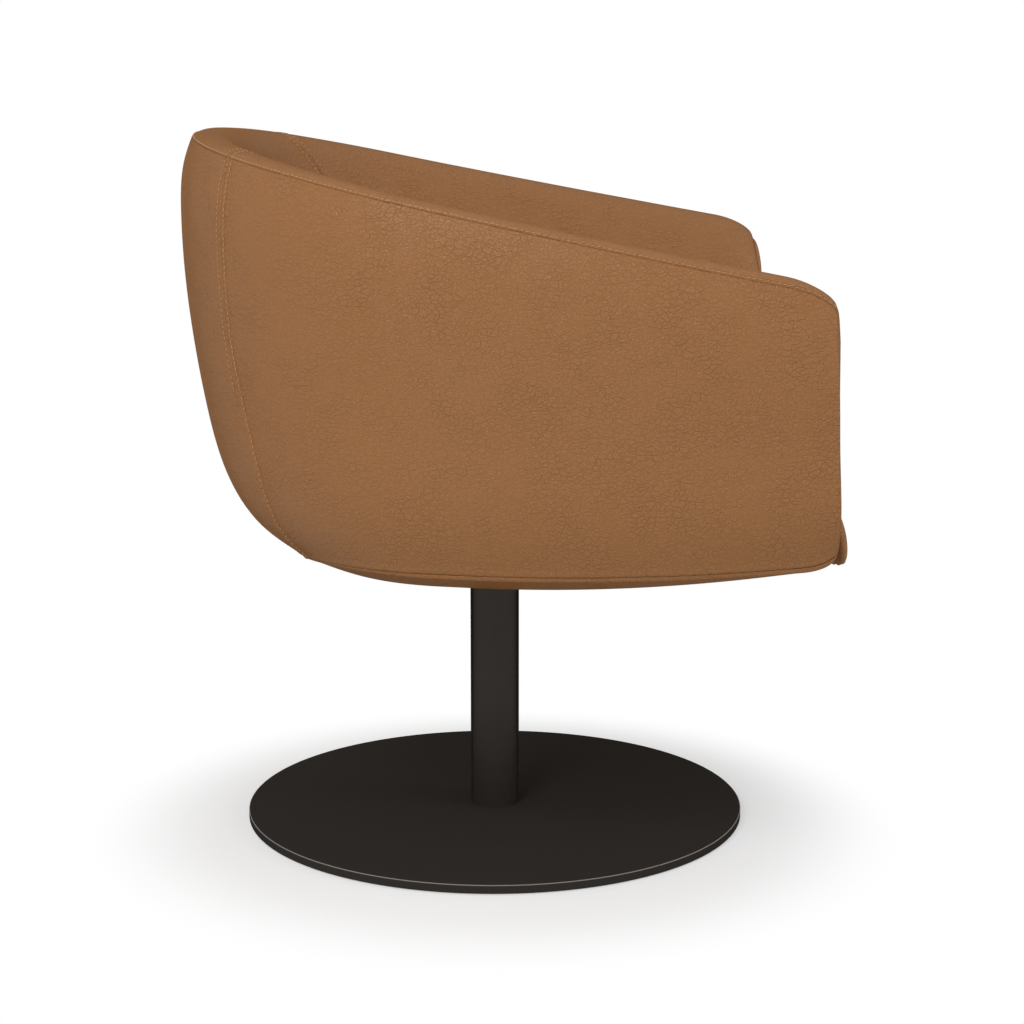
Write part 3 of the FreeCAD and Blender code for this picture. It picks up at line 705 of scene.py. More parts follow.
    def outer_rows(self, along: float) -> Rows:
        """Section from the stitched edge down the outer side to the welt."""
        edge = self.crown(along) - self.edge_below_crown
        drop, rise, pinch = self.drop(along), self.rise(along), self.pinch(along)
        corner = math.sin(math.radians(2 * self.facing(along))) ** 2
        shoulder, widest, waist, tuck, welt = self.knots("shoulder widest waist tuck welt", along)
        lift = self.welt_rise_share * rise + self.welt_corner_lift * corner + self.corner_lift(along)
        at_edge, at_shoulder = self.outer_drop_shares
        rows = [
            (0.0, edge - at_edge * drop),
            (shoulder[0], edge - shoulder[1] - at_shoulder * drop),
            (widest[0], edge - widest[1]),
            waist,
            (tuck[0], tuck[1] + self.tuck_rise_share * rise),
            (welt[0], welt[1] + lift),
        ]
        return [(inset + pinch, height) for inset, height in rows]

    def under_rows(self, along: float) -> Rows:
        """Section from the welt in under the seat."""
        rise = self.rise(along) + self.corner_lift(along)
        low = [(inset, height + rise) for inset, height in self.knots("foot heel", along)]
        return [self.outer_rows(along)[-1]] + low

    def inner_rows(self, along: float) -> Rows:
        """Section from the stitched edge over the crown and down the inner side to the pan."""
        crown, drop, pinch = self.crown(along), self.drop(along), self.pinch(along)
        below = (self.crown_inset, 0.0), self.brow, self.inner_edge, self.inner_upper
        rows = [
            (inset, crown - depth - share * drop)
            for (inset, depth), share in zip(below, self.inner_drop_shares)]
        rows += self.knots("inner_middle seat_line inner_foot", along)
        return [self.outer_rows(along)[0]] + [(inset - pinch, height) for inset, height in rows]

    def split_at_rim(self, along: float) -> tuple[np.ndarray, np.ndarray]:
        """Outer and inner section, parted at the rim's seam a little below the edge."""
        outer = smooth_curve(self.outer_rows(along), np.linspace(0, 1, 600))
        inner = smooth_curve(self.inner_rows(along), np.linspace(0, 1, 400))
        run = run_along(outer)
        back, front = self.rim_seam_drop
        drop = back + (front - back) * abs(along) / self.front_along
        seam = np.array([[np.interp(drop, run, outer[:, k]) for k in (0, 1)]])
        over_edge = outer[run < drop][::-1]
        return np.vstack([seam, outer[run > drop]]), np.vstack([seam, over_edge, inner[1:]])

    def place(self, along: float, rows: np.ndarray) -> np.ndarray:
        """Points in space of a section's rows.

        Args:
            along: Distance along the plan.
            rows: Insets and heights, one pair to a line.

        Returns:
            One point to a line, in millimetres.
        """
        forward, side = self.plan(along)
        turn = math.radians(abs(self.facing(along)))
        share = self.front_share(along)
        lean = (self.front_lean_height - rows[:, 1]) * math.tan(math.radians(self.front_lean))
        lateral = abs(side) - rows[:, 0] * math.sin(turn)
        ahead = forward + (1 - share) * rows[:, 0] * math.cos(turn) + share * lean
        return np.stack([math.copysign(1.0, along) * lateral, -ahead, rows[:, 1]], axis=1)


class Sheet:
    """A grid of points with its distances from its four edges, which becomes one leather panel."""

    def __init__(self, points: np.ndarray) -> None:
        """Measure the grid.

        Args:
            points: Rows by columns by 3, in millimetres.
        """
        self.points = points
        down = np.linalg.norm(np.diff(points, axis=0), axis=2)
        across = np.linalg.norm(np.diff(points, axis=1), axis=2)
        top = np.vstack([np.zeros(points.shape[1]), np.cumsum(down, axis=0)])
        left = np.hstack([np.zeros((points.shape[0], 1)), np.cumsum(across, axis=1)])
        self.away = {"top": top, "bottom": top[-1] - top, "left": left, "right": left[:, -1:] - left}

    def normals(self) -> np.ndarray:
        """Unit normals, from the directions down and across."""
        normal = np.cross(np.gradient(self.points, axis=1), np.gradient(self.points, axis=0))
        return normal / np.maximum(np.linalg.norm(normal, axis=2, keepdims=True), 1e-9)

    def lift(self, heights: np.ndarray) -> None:
        """Move every point along its normal by a height in millimetres."""
        self.points = self.points + self.normals() * heights[..., None]

    def line_at(self, distance: float, edge: str) -> Line:
        """Line at a distance from an edge.

        Args:
            distance: Distance from the edge.
            edge: "top", "left" or "right".

        Returns:
            The line's points and its normals.
        """
        measure = self.away[edge]
        values = np.concatenate([self.points, self.normals()], axis=2)
        if edge == "right":
            measure, values = measure[:, ::-1], values[:, ::-1]
        if edge != "top":
            measure, values = measure.T, values.transpose(1, 0, 2)
        line = np.array([
            [np.interp(distance, measure[:, j], values[:, j, k]) for k in range(6)]
            for j in range(measure.shape[1])])
        return line[:, :3], line[:, 3:]

    def build(self, name: str, thickness: float) -> Piece:
        """Make a closed panel of this thickness, its skin on the grid.

        Args:
            name: Name of the piece.
            thickness: Leather thickness in millimetres.

        Returns:
            The panel.
        """
        rows, columns = self.points.shape[:2]
        under = self.points - self.normals() * thickness
        vertices = np.concatenate([self.points.reshape(-1, 3), under.reshape(-1, 3)]) * MM
        count = rows * columns
        faces = []
        for i in range(rows - 1):
            for j in range(columns - 1):
                a = i * columns + j
                faces.append((a, a + 1, a + columns + 1, a + columns))
                faces.append((count + a, count + a + columns, count + a + columns + 1, count + a + 1))
        ring = [(0, j) for j in range(columns)] + [(i, columns - 1) for i in range(1, rows)]
        ring += [(rows - 1, j) for j in range(columns - 2, -1, -1)] + [(i, 0) for i in range(rows - 2, 0, -1)]
        loop = [i * columns + j for i, j in ring]
        for a, b in zip(loop, loop[1:] + loop[:1]):
            faces.append((a, count + a, count + b, b))
        return make_object(name, vertices, faces)


def make_object(name: str, vertices: np.ndarray, faces: list) -> Piece:
    """Make a smooth-shaded mesh object from vertices in metres."""
    mesh = bpy.data.meshes.new(name)
    mesh.from_pydata([tuple(v) for v in vertices], [], faces)
    mesh.validate()
    mesh.shade_smooth()
    made = bpy.data.objects.new(name, mesh)
    bpy.context.scene.collection.objects.link(made)
    return made


def dress(piece: Piece, stuff: Stuff, body: str) -> Piece:
    """Give a piece its finish and the body that it rides on."""
    piece.data.materials.clear()
    piece.data.materials.append(stuff.material())
    stuff.slot
    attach(piece, body)
    LOG.info("%s: %d vertices, %s", piece.name, len(piece.data.vertices), stuff.name.lower())
    return piece


@dataclass(frozen=True)
class StitchRow:
    """A row of lock stitches: short thread arcs whose ends dip into the leather."""

    pitch: float = 5.3
    length: float = 3.7
    radius: float = 0.38
    stand: float = 0.52
    dip: float = 0.9
    slant: float = 0.06
    taper: float = 0.75
    least_section: float = 0.08
    bare_end: float = 2.0
    sides: int = 6
    rings: int = 7

    def stitch(self, middle: float, run: np.ndarray, line: Line) -> list[np.ndarray]:
        """Vertices of one stitch, ring by ring.

        Args:
            middle: Where the stitch's middle lies along the line.
            run: Distance along the line at each of its points.
            line: Points of the line in millimetres, and the leather's normals there.

        Returns:
            The vertices in millimetres.
        """
        ends = np.array([middle - self.length / 2, middle, middle + self.length / 2])
        p = np.stack([np.interp(ends, run, line[0][:, i]) for i in range(3)], axis=1)
        n = np.array([np.interp(middle, run, line[1][:, i]) for i in range(3)])
        n /= np.linalg.norm(n)
        t = p[2] - p[0]
        t /= np.linalg.norm(t)
        b = np.cross(n, t)
        t = t + self.slant * b
        vertices = []
        for u in np.linspace(-1, 1, self.rings):
            centre = p[1] + t * (u * self.length / 2) + n * (self.stand - self.dip * u ** 4)
            radius = self.radius * math.sqrt(max(self.least_section, 1 - self.taper * u ** 4))
            for s in range(self.sides):
                angle = 2 * math.pi * s / self.sides
                vertices.append(centre + radius * (math.cos(angle) * b + math.sin(angle) * n))
        return vertices

    def sew(self, name: str, lines: list[Line]) -> Piece:
        """Make one piece of thread from several lines of stitches.

        Args:
            name: Name of the piece.
            lines: Points and normals of each line.

        Returns:
            The piece, dressed and riding on the seat.
        """
        vertices, faces = [], []
        for line in lines:
            run = run_along(line[0])
            for k in range(int((run[-1] - 2 * self.bare_end) / self.pitch)):
                base = len(vertices)
                vertices += self.stitch(self.bare_end + (k + 0.5) * self.pitch, run, line)
                for r in range(self.rings - 1):
                    for s in range(self.sides):
                        a, c = base + r * self.sides + s, base + r * self.sides + (s + 1) % self.sides
                        faces.append((a, c, c + self.sides, a + self.sides))
                faces.append(tuple(base + s for s in reversed(range(self.sides))))
                faces.append(tuple(base + (self.rings - 1) * self.sides + s for s in range(self.sides)))
        return dress(make_object(name, np.array(vertices) * MM, faces), Stuff.THREAD, "seat")


@dataclass
class LeatherShell:
    """The tub's leather: outer and inner panels, the strip under the welt, and the arms' front panels.

    Each relief is a set of humps, given by their height, their distance from the sewn edge and their width.
    """

    shape: ShellShape = ShellShape()
    thickness: float = 1.6
    fine: float = 0.6
    coarse: float = 7.0
    outer_length: float = 430.0
    inner_length: float = 380.0
    strip_length: float = 180.0
    front_height: float = 330.0
    front_width: float = 80.0
    front_coarse: float = 5.0
    places_along: int = 901
    seam_drift: float = 25.0
    seam_drift_start: float = 0.38
    seam_drift_end: float = 0.82
    fold_start: float = 0.50
    fold_length: float = 0.08
    fold_at_last_stitch: float = 0.6
    inner_seam: tuple = ((0.0, 0.0), (32.0, -13.0), (80.0, 14.0), (160.0, 26.0), (372.0, 30.0))
    stitch_inset: float = 6.2
    rim_stitch_inset: float = 2.3
    flat_seam: Humps = ((-1.3, 0.0, 1.0), (0.6, 3.2, 2.2), (-0.45, stitch_inset, 0.9))
    folded_arm: Humps = ((-1.2, 0.0, 0.7), (1.9, 2.2, 1.7), (-0.4, 5.2, 0.9))
    folded_back: Humps = ((-2.6, 0.0, 1.6),)
    rim_groove: Humps = ((-0.42, 0.0, 0.7),)
    rim_roll: Humps = ((0.9, 10.0, 6.5), (-0.35, rim_stitch_inset, 0.8))
    outer_foot: Humps = ((-1.6, 0.0, 1.2), (0.5, 4.0, 3.0))
    outer_front: Humps = ((-0.6, 0.0, 1.3),)
    welt_groove: Humps = ((-1.5, 0.0, 1.0),)
    welt_roll: float = 3.0
    welt_roll_place: tuple = (4.6, 3.8)
    welt_roll_corner_loss: float = 0.75
    strip_end_fade: float = 10.0
    front_bulge: float = 6.5
    front_bulge_place: float = 0.92
    front_bulge_full_width: float = 52.0
    front_tuck: Humps = ((-0.35, 0.0, 1.2),)
    front_turn: float = 4.0
    front_turn_top: float = 578.0
    front_turn_fade: float = 55.0
    front_turn_length: float = 12.0
    foam_wave_seed: int = 3
    foam_wave_size: float = 120.0
    foam_wave_height: float = 0.35
    calm_rim_width: float = 45.0

    def __post_init__(self) -> None:
        """Lay out the dense distances along the plan once."""
        front = self.shape.front_along
        self.alongs = np.linspace(-front, front, self.places_along)
        self.threads: list[Line] = []
        self.rim_threads: list[Line] = []

    def dense(self, section: Callable[[float], np.ndarray]) -> np.ndarray:
        """Dense grid of a side of the shell, from its section at each distance along."""
        return np.stack([self.shape.place(a, section(a)) for a in self.alongs], axis=1)

    def cut(self, dense: np.ndarray, left: np.ndarray, right: np.ndarray) -> Sheet:
        """Cut a panel out of a dense grid.

        Args:
            dense: Dense grid of the side.
            left: Distance along of the panel's left edge, for each row.
            right: The same for its right edge.

        Returns:
            The panel's grid.
        """
        across = graded(float(np.abs(right - left).max()), self.fine, self.coarse)
        points = np.empty((dense.shape[0], len(across), 3))
        for i in range(dense.shape[0]):
            wanted = left[i] + (right[i] - left[i]) * across
            for k in range(3):
                points[i, :, k] = np.interp(wanted, self.alongs, dense[i, :, k])
        return Sheet(points)

    def panels(self, dense: np.ndarray, seam: np.ndarray, inside: bool) -> Iterator[tuple]:
        """Cut one side of the shell into its three panels.

        Args:
            dense: Dense grid of the side.
            seam: Distance along of the quarter seam, for each row.
            inside: Whether it is the inner side, whose panels are seen from within and so are mirrored.

        Yields:
            The panel's part, its grid, its edges at quarter seams, and its edges at an arm's front.
        """
        front = np.full(len(seam), self.shape.front_along)
        bounds = (-front, -seam, seam, front)
        first, last = ("right", "left") if inside else ("left", "right")
        edges = (([last], [first]), (["left", "right"], []), ([first], [last]))
        for part, left, right, (sewn, loose) in zip(("right", "back", "left"), bounds, bounds[1:], edges):
            sheet = self.cut(dense, left, right)
            yield part, Sheet(sheet.points[:, ::-1]) if inside else sheet, sewn, loose

    def seam_at(self, shares: np.ndarray) -> np.ndarray:
        """Distance along of the outer quarter seam at shares down the outer side."""
        drift = soft_step((shares - self.seam_drift_start) / (self.seam_drift_end - self.seam_drift_start))
        return self.shape.seam_along + self.seam_drift * drift

    def inner_seam_at(self, shares: np.ndarray) -> np.ndarray:
        """Distance along of the inner quarter seam at shares down the inner side."""
        line = smooth_curve(self.inner_seam, np.linspace(0, 1, 200))
        return self.shape.seam_along + np.interp(shares * self.inner_seam[-1][0], line[:, 0], line[:, 1])

    def foam_waves(self, sheet: Sheet) -> np.ndarray:
        """Heights of the slow waves over the foam, which die out towards the rim."""
        waves = gentle_waves(sheet.points, self.foam_wave_seed, self.foam_wave_size, self.foam_wave_height)
        return waves * (1 - bell(sheet.away["top"], 0, self.calm_rim_width))

    def turn_forward(self, heights: np.ndarray) -> np.ndarray:
        """How far the inner leather is drawn round an arm's front edge, at heights above the floor."""
        return self.front_turn * soft_step((self.front_turn_top - heights) / self.front_turn_fade)

    def outer(self) -> None:
        """Build the three outer panels; their quarter seams are sewn flat above and folded below."""
        shares = graded(self.outer_length, self.fine, self.coarse)
        dense = self.dense(lambda a: spread(self.shape.split_at_rim(a)[0], shares))
        fold = np.clip((shares - self.fold_start) / self.fold_length, 0, 1)[:, None]
        stitched = int(np.searchsorted(fold[:, 0], self.fold_at_last_stitch))
        for part, sheet, sewn, loose in self.panels(dense, self.seam_at(shares), inside=False):
            back = part == "back"
            folded = self.folded_back if back else self.folded_arm
            heights = self.foam_waves(sheet) + relief(sheet.away["top"], self.rim_groove)
            heights += relief(sheet.away["bottom"], self.outer_foot)
            for edge in sewn:
                away = sheet.away[edge]
                heights += (1 - fold) * relief(away, self.flat_seam) + fold * relief(away, folded)
            for edge in loose:
                heights += relief(sheet.away[edge], self.outer_front)
            sheet.lift(heights)
            panel = dress(sheet.build("outside_" + part + "_panel", self.thickness), Stuff.LEATHER, "seat")
            foam = "back_foam" if back else part + "_arm_foam"
            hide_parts("outside_" + part + "_cover", foam)
            for edge in sewn:
                line, normals = sheet.line_at(self.stitch_inset, edge)
                count = stitched if back else len(line)
                self.threads.append((line[:count], normals[:count]))

    def inner(self) -> None:
        """Build the three inner panels, which carry the rim."""
        shares = graded(self.inner_length, self.fine, self.coarse, end=False)
        dense = self.dense(lambda a: spread(self.shape.split_at_rim(a)[1], shares))
        for part, sheet, sewn, loose in self.panels(dense, self.inner_seam_at(shares), inside=True):
            heights = self.foam_waves(sheet) + relief(sheet.away["top"], self.rim_groove + self.rim_roll)
            for edge in sewn:
                heights += relief(sheet.away[edge], self.flat_seam)
            sheet.lift(heights)
            for edge in loose:
                share = np.clip(1 - sheet.away[edge] / self.front_turn_length, 0, 1)
                sheet.points[..., 1] -= share * self.turn_forward(sheet.points[..., 2])
            panel = dress(sheet.build("inside_" + part + "_panel", self.thickness), Stuff.LEATHER, "seat")
            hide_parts("inside_" + part + "_cover")
            self.rim_threads.append(sheet.line_at(self.rim_stitch_inset, "top"))
            self.threads += [sheet.line_at(self.stitch_inset, edge) for edge in sewn]

    def border(self) -> None:
        """Build the strip under the welt, with a roll that is thinner at the shell's corners."""
        shares = graded(self.strip_length, self.fine, self.coarse, end=False)
        dense = self.dense(lambda a: smooth_curve(self.shape.under_rows(a), shares))
        front = np.full(len(shares), self.shape.front_along)
        sheet = self.cut(dense, -front, front)
        across = graded(2 * self.shape.front_along, self.fine, self.coarse)
        facings = np.array([self.shape.facing(a) for a in self.alongs])
        turned = np.interp((2 * across - 1) * self.shape.front_along, self.alongs, facings)
        roll = self.welt_roll * (1 - self.welt_roll_corner_loss * np.sin(np.radians(2 * turned)) ** 2)
        top = sheet.away["top"]
        sewn = 1 - bell(np.minimum(sheet.away["left"], sheet.away["right"]), 0, self.strip_end_fade)
        sheet.lift(sewn * (roll * bell(top, *self.welt_roll_place) + relief(top, self.welt_groove)))
        panel = dress(sheet.build("under_strip", self.thickness), Stuff.LEATHER, "seat")
        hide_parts("under_border")

    def arm_front(self, part: str, sign: float) -> None:
        """Build the bulging panel that closes one arm's front.

        Args:
            part: "left" or "right".
            sign: 1 on the sitter's left, -1 on the right.
        """
        along = sign * self.shape.front_along
        shares = graded(self.front_height, self.fine, self.coarse)
        outer = self.shape.place(along, smooth_curve(self.shape.outer_rows(along), shares))
        inner_rows, under = (
            smooth_curve(rows, np.linspace(0, 1, 200))
            for rows in (self.shape.inner_rows(along), self.shape.under_rows(along)))
        foot = inner_rows[-1][0]
        low = [[foot, np.interp(foot, under[:, 0], under[:, 1])]]
        inner = self.shape.place(along, spread(np.vstack([inner_rows, low]), shares))
        across = graded(self.front_width, self.fine, self.front_coarse)
        points = outer[:, None] * (1 - across[None, :, None]) + inner[:, None] * across[None, :, None]
        width = np.linalg.norm(inner - outer, axis=1)[:, None]
        falling = np.clip((across - self.front_bulge_place) / (1 - self.front_bulge_place), 0, 1)
        bulge = soft_step(across / self.front_bulge_place) * np.sqrt(1 - falling ** 2)
        size = self.front_bulge * np.clip(width / self.front_bulge_full_width, 0, 1)
        turned = across * self.turn_forward(points[..., 2])
        points[..., 1] -= turned + bulge * (size - turned) + relief(width * across, self.front_tuck)
        sheet = Sheet(points if sign > 0 else points[:, ::-1])
        panel = dress(sheet.build(part + "_arm_front", self.thickness), Stuff.LEATHER, "seat")
        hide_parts(part + "_arm_facing")

    def build(self) -> None:
        """Build every panel, then sew the threads."""
        self.outer()
        self.inner()
        self.border()
        self.arm_front("left", 1.0)
        self.arm_front("right", -1.0)
        row = StitchRow()
        row.sew("rim_stitches", self.rim_threads)
        row.sew("seam_stitches", self.threads)


@dataclass
class SeatCushion:
    """The seat's cushion: its leather is blown up a little by simulation, then given its seam."""

    voxel: float = 6.0
    shrink: float = 0.99
    pressure: float = 4.0
    stretch_stiffness: float = 30.0
    bending_stiffness: float = 4.0
    steps_per_frame: int = 5
    frames: int = 20
    movement_cap: float = 9.0
    held_below: float = 335.0
    free_above: float = 385.0
    least_free_share: float = 0.05
    smoothing_rounds: int = 18
    smoothing_factor: float = 0.5
    seam_height: float = 392.0
    seam_depth: float = 1.6
    seam_width: float = 3.2
    seam_reach: float = 14.0
    seam_clearance: float = 10.0
    seam_end_inset: float = 22.0
    seam_points: int = 160
    ray_start: float = 40.0
    stitches_above_seam: float = 4.0
    nose_fullness: float = 5.0
    nose_depth: float = 50.0
    nose_back: float = 70.0
    nose_end_rise: float = 9.0
    nose_rise_below: float = 340.0
    nose_rise_fade: float = 34.0

    def start(self) -> Piece:
        """Copy of the foam's mesh, remeshed evenly and drawn in a little."""
        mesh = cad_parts["seat_foam"].data.copy()
        cushion = bpy.data.objects.new("seat_cushion", mesh)
        bpy.context.scene.collection.objects.link(cushion)
        low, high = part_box("seat_foam")
        middle = (low + high) / 2
        for vertex in mesh.vertices:
            vertex.co = middle + (vertex.co - middle) * self.shrink
        remesh = cushion.modifiers.new("Remesh", "REMESH")
        remesh.mode = "VOXEL"
        remesh.voxel_size = self.voxel * MM
        self.apply(cushion)
        return cushion

    @staticmethod
    def apply(piece: Piece) -> None:
        """Replace a piece's mesh by what its modifiers make of it."""
        graph = bpy.context.evaluated_depsgraph_get()
        mesh = bpy.data.meshes.new_from_object(piece.evaluated_get(graph))
        piece.modifiers.clear()
        old = piece.data
        piece.data = mesh
        bpy.data.meshes.remove(old)

    @staticmethod
    def places(piece: Piece) -> np.ndarray:
        """Places of a piece's vertices in metres."""
        return np.array([v.co for v in piece.data.vertices])

    @staticmethod
    def move(piece: Piece, places: np.ndarray) -> None:
        """Put a piece's vertices at these places."""
        for vertex, place in zip(piece.data.vertices, places):
            vertex.co = place

    def simulate(self, cushion: Piece) -> None:
        """Blow the leather up like a filled cover; the cap on its movement is tightest under the nose."""
        rest = self.places(cushion)
        cloth = cushion.modifiers.new("Cloth", "CLOTH")
        cloth.settings.quality = self.steps_per_frame
        cloth.settings.use_pressure = True
        cloth.settings.uniform_pressure_force = self.pressure
        cloth.settings.effector_weights.gravity = 0.0
        cloth.settings.tension_stiffness = self.stretch_stiffness
        cloth.settings.compression_stiffness = self.stretch_stiffness
        cloth.settings.bending_stiffness = self.bending_stiffness
        cloth.point_cache.frame_start = 1
        cloth.point_cache.frame_end = self.frames
        for number in range(1, self.frames + 1):
            bpy.context.scene.frame_set(number)
        self.apply(cushion)
        bpy.context.scene.frame_set(1)
        step = self.places(cushion) - rest
        length = np.linalg.norm(step, axis=1, keepdims=True)
        free = (rest[:, 2:] / MM - self.held_below) / (self.free_above - self.held_below)
        cap = self.movement_cap * MM * np.clip(free, self.least_free_share, 1)
        self.move(cushion, rest + step * np.minimum(1.0, cap / np.maximum(length, 1e-9)))

    def fill_space(self, cushion: Piece) -> None:
        """Stretch the leather to the cushion's space in the chair, and fill out both ends of its nose."""
        low, high = (np.array(corner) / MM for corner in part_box("seat_cover"))
        places = self.places(cushion) / MM
        least, most = places.min(axis=0), places.max(axis=0)
        places = low + (places - least) * (high - low) / (most - least)
        nose = soft_step((low[1] + self.nose_back - places[:, 1]) / self.nose_depth)
        end = (places[:, 0] / high[0]) ** 2 * nose
        lowness = np.clip((self.nose_rise_below - places[:, 2]) / self.nose_rise_fade, 0, 1)
        places[:, 1] = np.maximum(places[:, 1] - self.nose_fullness * end, low[1])
        places[:, 2] += self.nose_end_rise * end * lowness
        self.move(cushion, places * MM)

    def nose_line(self, tree: BVHTree, height: float) -> Line:
        """Line across the cushion's nose.

        Args:
            tree: The cushion's faces.
            height: Height of the line above the floor.

        Returns:
            Its points in millimetres and its normals.
        """
        low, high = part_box("seat_foam")
        half = high.x / MM - self.seam_end_inset
        hits = [
            tree.ray_cast(Vector((x * MM, low.y - self.ray_start * MM, height * MM)), Vector((0, 1, 0)))
            for x in np.linspace(-half, half, self.seam_points)]
        hits = [hit for hit in hits if hit[0] is not None]
        return np.array([hit[0] for hit in hits]) / MM, np.array([hit[1] for hit in hits])

    def sew(self, cushion: Piece) -> None:
        """Press the seam across the nose and stitch above it."""
        tree = BVHTree.FromObject(cushion, bpy.context.evaluated_depsgraph_get())
        seam = self.nose_line(tree, self.seam_height)[0]
        stitched = self.nose_line(tree, self.seam_height + self.stitches_above_seam)
        behind = seam[:, 1].max() + self.seam_clearance
        for vertex in cushion.data.vertices:
            place = np.array(vertex.co) / MM
            if abs(place[2] - self.seam_height) > self.seam_reach or place[1] > behind:
                continue
            distance = np.sqrt(((seam - place) ** 2).sum(axis=1).min())
            depth = self.seam_depth * bell(distance, 0, self.seam_width)
            vertex.co = Vector((place - np.array(vertex.normal) * depth) * MM)
        StitchRow().sew("cushion_stitches", [stitched])

    def build(self) -> None:
        """Make the cushion."""
        cushion = self.start()
        self.simulate(cushion)
        smooth = cushion.modifiers.new("Smooth", "SMOOTH")
        smooth.iterations = self.smoothing_rounds
        smooth.factor = self.smoothing_factor
        rounder = cushion.modifiers.new("Subdivision", "SUBSURF")
        rounder.levels = 1
        self.apply(cushion)
        cushion.data.shade_smooth()
        self.fill_space(cushion)
        self.sew(cushion)
        dress(cushion, Stuff.LEATHER, "seat")
        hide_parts("seat_cover", "seat_foam")


@dataclass(frozen=True)
class FramePieces:
    """The solid parts that keep their shape, by finish."""

    finishes: tuple = (
        (Stuff.COATED_DISC, ("base_disc",)),
        (Stuff.COATED_TUBE, ("column_tube",)),
        (Stuff.RUBBER, ("floor_ring",)),
        (Stuff.PLAIN_STEEL, ("foot_plug", "foot_screws", "spindle", "stop_washer", "stop_screw", "seat_plate",
                             "plate_washers", "plate_screws", "tee_nuts", "frame_screws")),
        (Stuff.ACETAL, ("lower_bush", "upper_bush", "thrust_washer")),
        (Stuff.PLY, ("seat_pan", "back_frame", "left_arm_frame", "right_arm_frame")),
        (Stuff.BEECH, ("front_rail",)),
        (Stuff.LINING, ("underside_lining",)),
    )

    def dress(self) -> None:
        """Give each node its material."""
        for stuff, names in self.finishes:
            for name in names:
                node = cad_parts[name]
                node.data.materials.clear()
                node.data.materials.append(stuff.material())
                LOG.info("%s: %s", name, stuff.name.lower())


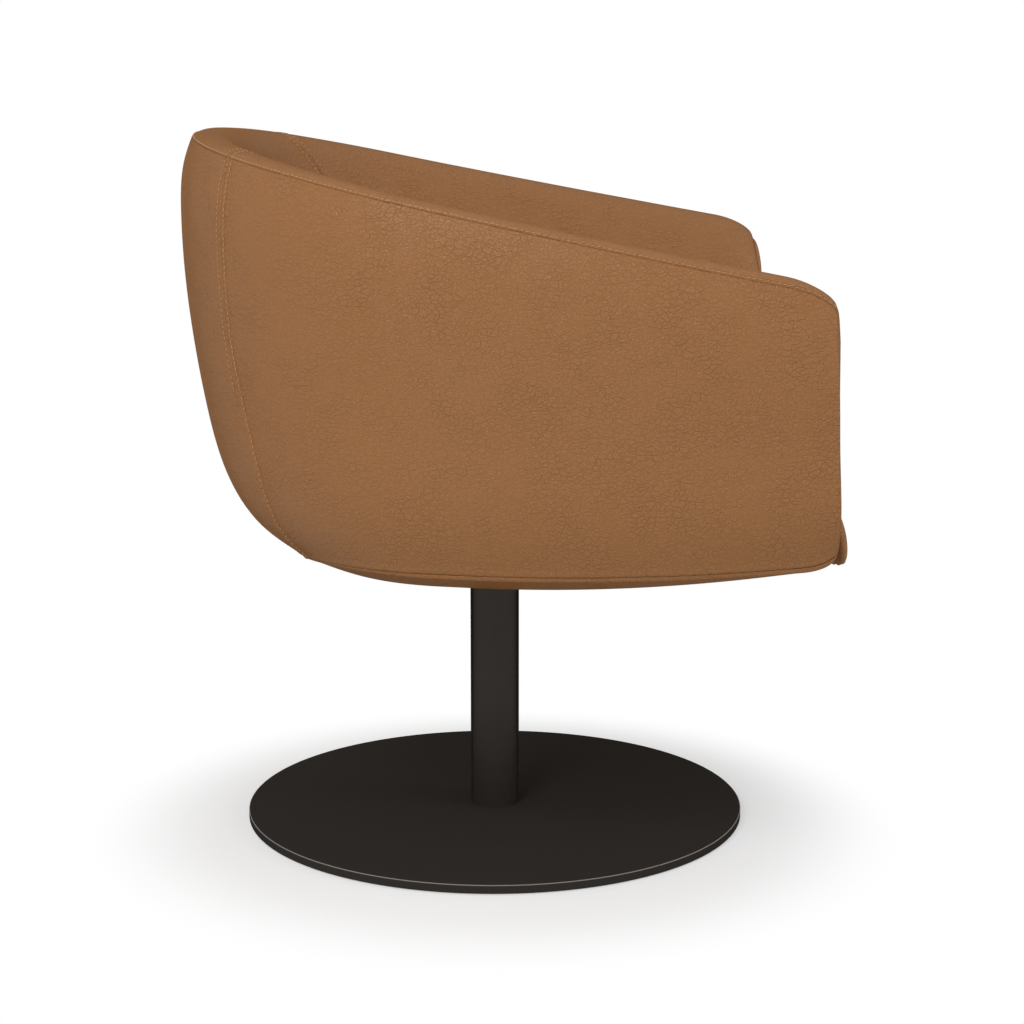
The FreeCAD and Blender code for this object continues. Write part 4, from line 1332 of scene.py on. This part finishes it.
@dataclass(frozen=True)
class Studio:
    """Pale floor, a soft dome of light that is strongest over the camera's left, two lamps and the camera."""

    camera_place: tuple = (-2.4349, -0.0181, 0.8093)
    camera_pitch: float = 11.305
    lens: float = 84.064
    sensor: float = 36.0
    floor_size: float = 60.0
    floor_colour: str = "#D2D2D2"
    floor_roughness: float = 0.9
    floor_glow: float = 0.41
    pool_centre: tuple = (-0.04, 0.0, 0.0)
    fade_start: float = 0.27
    fade_end: float = 0.43
    dome_direction: tuple = (-0.50, 0.30, 0.81)
    dome_edges: tuple = (-0.2, 1.0)
    dome_dim: float = 0.32
    dome_bright: float = 0.58
    lamps: tuple = (
        ("key", (-2.00, 0.85, 1.75), (0.0, 0.0, 0.45), (0.9, 1.1), 24.0),
        ("front_fill", (-0.70, -2.30, 1.50), (0.1, 0.0, 0.5), (1.2, 1.2), 14.0),
    )

    @staticmethod
    def shown(tree: Tree) -> Socket:
        """1 for rays from the camera, a glossy surface or glass, and 0 for rays that carry light."""
        rays = add_node(tree, "LightPath").outputs
        shiny = add_node(tree, "Math", {0: rays["Is Glossy Ray"], 1: rays["Is Transmission Ray"]},
                         operation="MAXIMUM")
        return add_node(tree, "Math", {0: rays["Is Camera Ray"], 1: shiny.outputs[0]},
                        operation="MAXIMUM").outputs[0]

    def floor(self) -> None:
        """Make the floor: it keeps the chair's shadow and fades to white away from the chair."""
        half = self.floor_size / 2
        corners = np.array([(-half, -half, 0), (half, -half, 0), (half, half, 0), (-half, half, 0)])
        floor = make_object("floor", corners, [(0, 1, 2, 3)])
        made = bpy.data.materials.new("studio_floor")
        made.use_nodes = True
        tree = made.node_tree
        shader = tree.nodes["Principled BSDF"]
        fill_inputs(tree, shader, {
            "Base Color": linear(self.floor_colour), "Roughness": self.floor_roughness,
            "Specular IOR Level": 0.0})
        seen = self.shown(tree)
        place = add_node(tree, "NewGeometry").outputs["Position"]
        away = add_node(tree, "VectorMath", {0: place, 1: self.pool_centre}, operation="DISTANCE")
        fade = add_node(tree, "MapRange", {
            "Value": away.outputs["Value"], "From Min": self.fade_start, "From Max": self.fade_end},
            interpolation_type="SMOOTHSTEP")
        white_share = add_node(tree, "Math", {0: fade.outputs[0], 1: seen}, operation="MULTIPLY")
        level = add_node(tree, "Math", {0: seen, 1: self.floor_glow}, operation="MULTIPLY")
        glow = add_node(tree, "Emission", {"Strength": level.outputs[0]})
        lit = add_node(tree, "AddShader", {0: shader.outputs[0], 1: glow.outputs[0]})
        white = add_node(tree, "Emission")
        both = add_node(tree, "MixShader", {
            0: white_share.outputs[0], 1: lit.outputs[0], 2: white.outputs[0]})
        tree.links.new(both.outputs[0], tree.nodes["Material Output"].inputs["Surface"])
        floor.data.materials.append(made)

    def world(self) -> None:
        """A white background, and a dome of light that is brighter on one side."""
        world = bpy.data.worlds.new("studio")
        bpy.context.scene.world = world
        world.use_nodes = True
        tree = world.node_tree
        direction = add_node(tree, "TexCoord").outputs["Generated"]
        towards = add_node(tree, "VectorMath", {0: direction, 1: Vector(self.dome_direction).normalized()},
                           operation="DOT_PRODUCT")
        dome = add_node(tree, "MapRange", {
            "Value": towards.outputs["Value"], "From Min": self.dome_edges[0],
            "From Max": self.dome_edges[1], "To Min": self.dome_dim, "To Max": self.dome_bright},
            interpolation_type="SMOOTHSTEP")
        level = add_node(tree, "Mix", {0: self.shown(tree), 2: dome.outputs[0], 3: 1.0}, data_type="FLOAT")
        fill_inputs(tree, tree.nodes["Background"], {"Color": (1, 1, 1, 1), "Strength": level.outputs[0]})

    def hang_lamps(self) -> None:
        """Hang the soft key, and the fill that shines in between the arms."""
        for name, place, aim, size, power in self.lamps:
            light = bpy.data.lights.new(name, "AREA")
            light.shape = "RECTANGLE"
            light.size, light.size_y = size
            light.energy = power
            lamp = bpy.data.objects.new(name, light)
            bpy.context.scene.collection.objects.link(lamp)
            lamp.visible_camera = False
            lamp.location = place
            lamp.rotation_euler = (Vector(aim) - Vector(place)).to_track_quat("-Z", "Y").to_euler()

    def camera(self) -> None:
        """Set the camera at the photograph's place."""
        data = bpy.data.cameras.new("camera")
        data.lens = self.lens
        data.sensor_width = self.sensor
        camera = bpy.data.objects.new("camera", data)
        bpy.context.scene.collection.objects.link(camera)
        camera.location = self.camera_place
        camera.rotation_euler = (math.radians(90 - self.camera_pitch), 0, math.radians(-90))
        bpy.context.scene.camera = camera

    def build(self) -> None:
        """Set the whole studio up."""
        self.camera()
        self.floor()
        self.world()
        self.hang_lamps()
        bpy.context.scene.view_settings.view_transform = "Standard"


def main() -> None:
    """Build the chair and the studio."""
    logging.basicConfig(level=logging.INFO, format="%(relativeCreated)6.0f ms %(name)s %(message)s")
    Studio().build()
    FramePieces().dress()
    LeatherShell().build()
    SeatCushion().build()


if __name__ == "__main__":
    main()
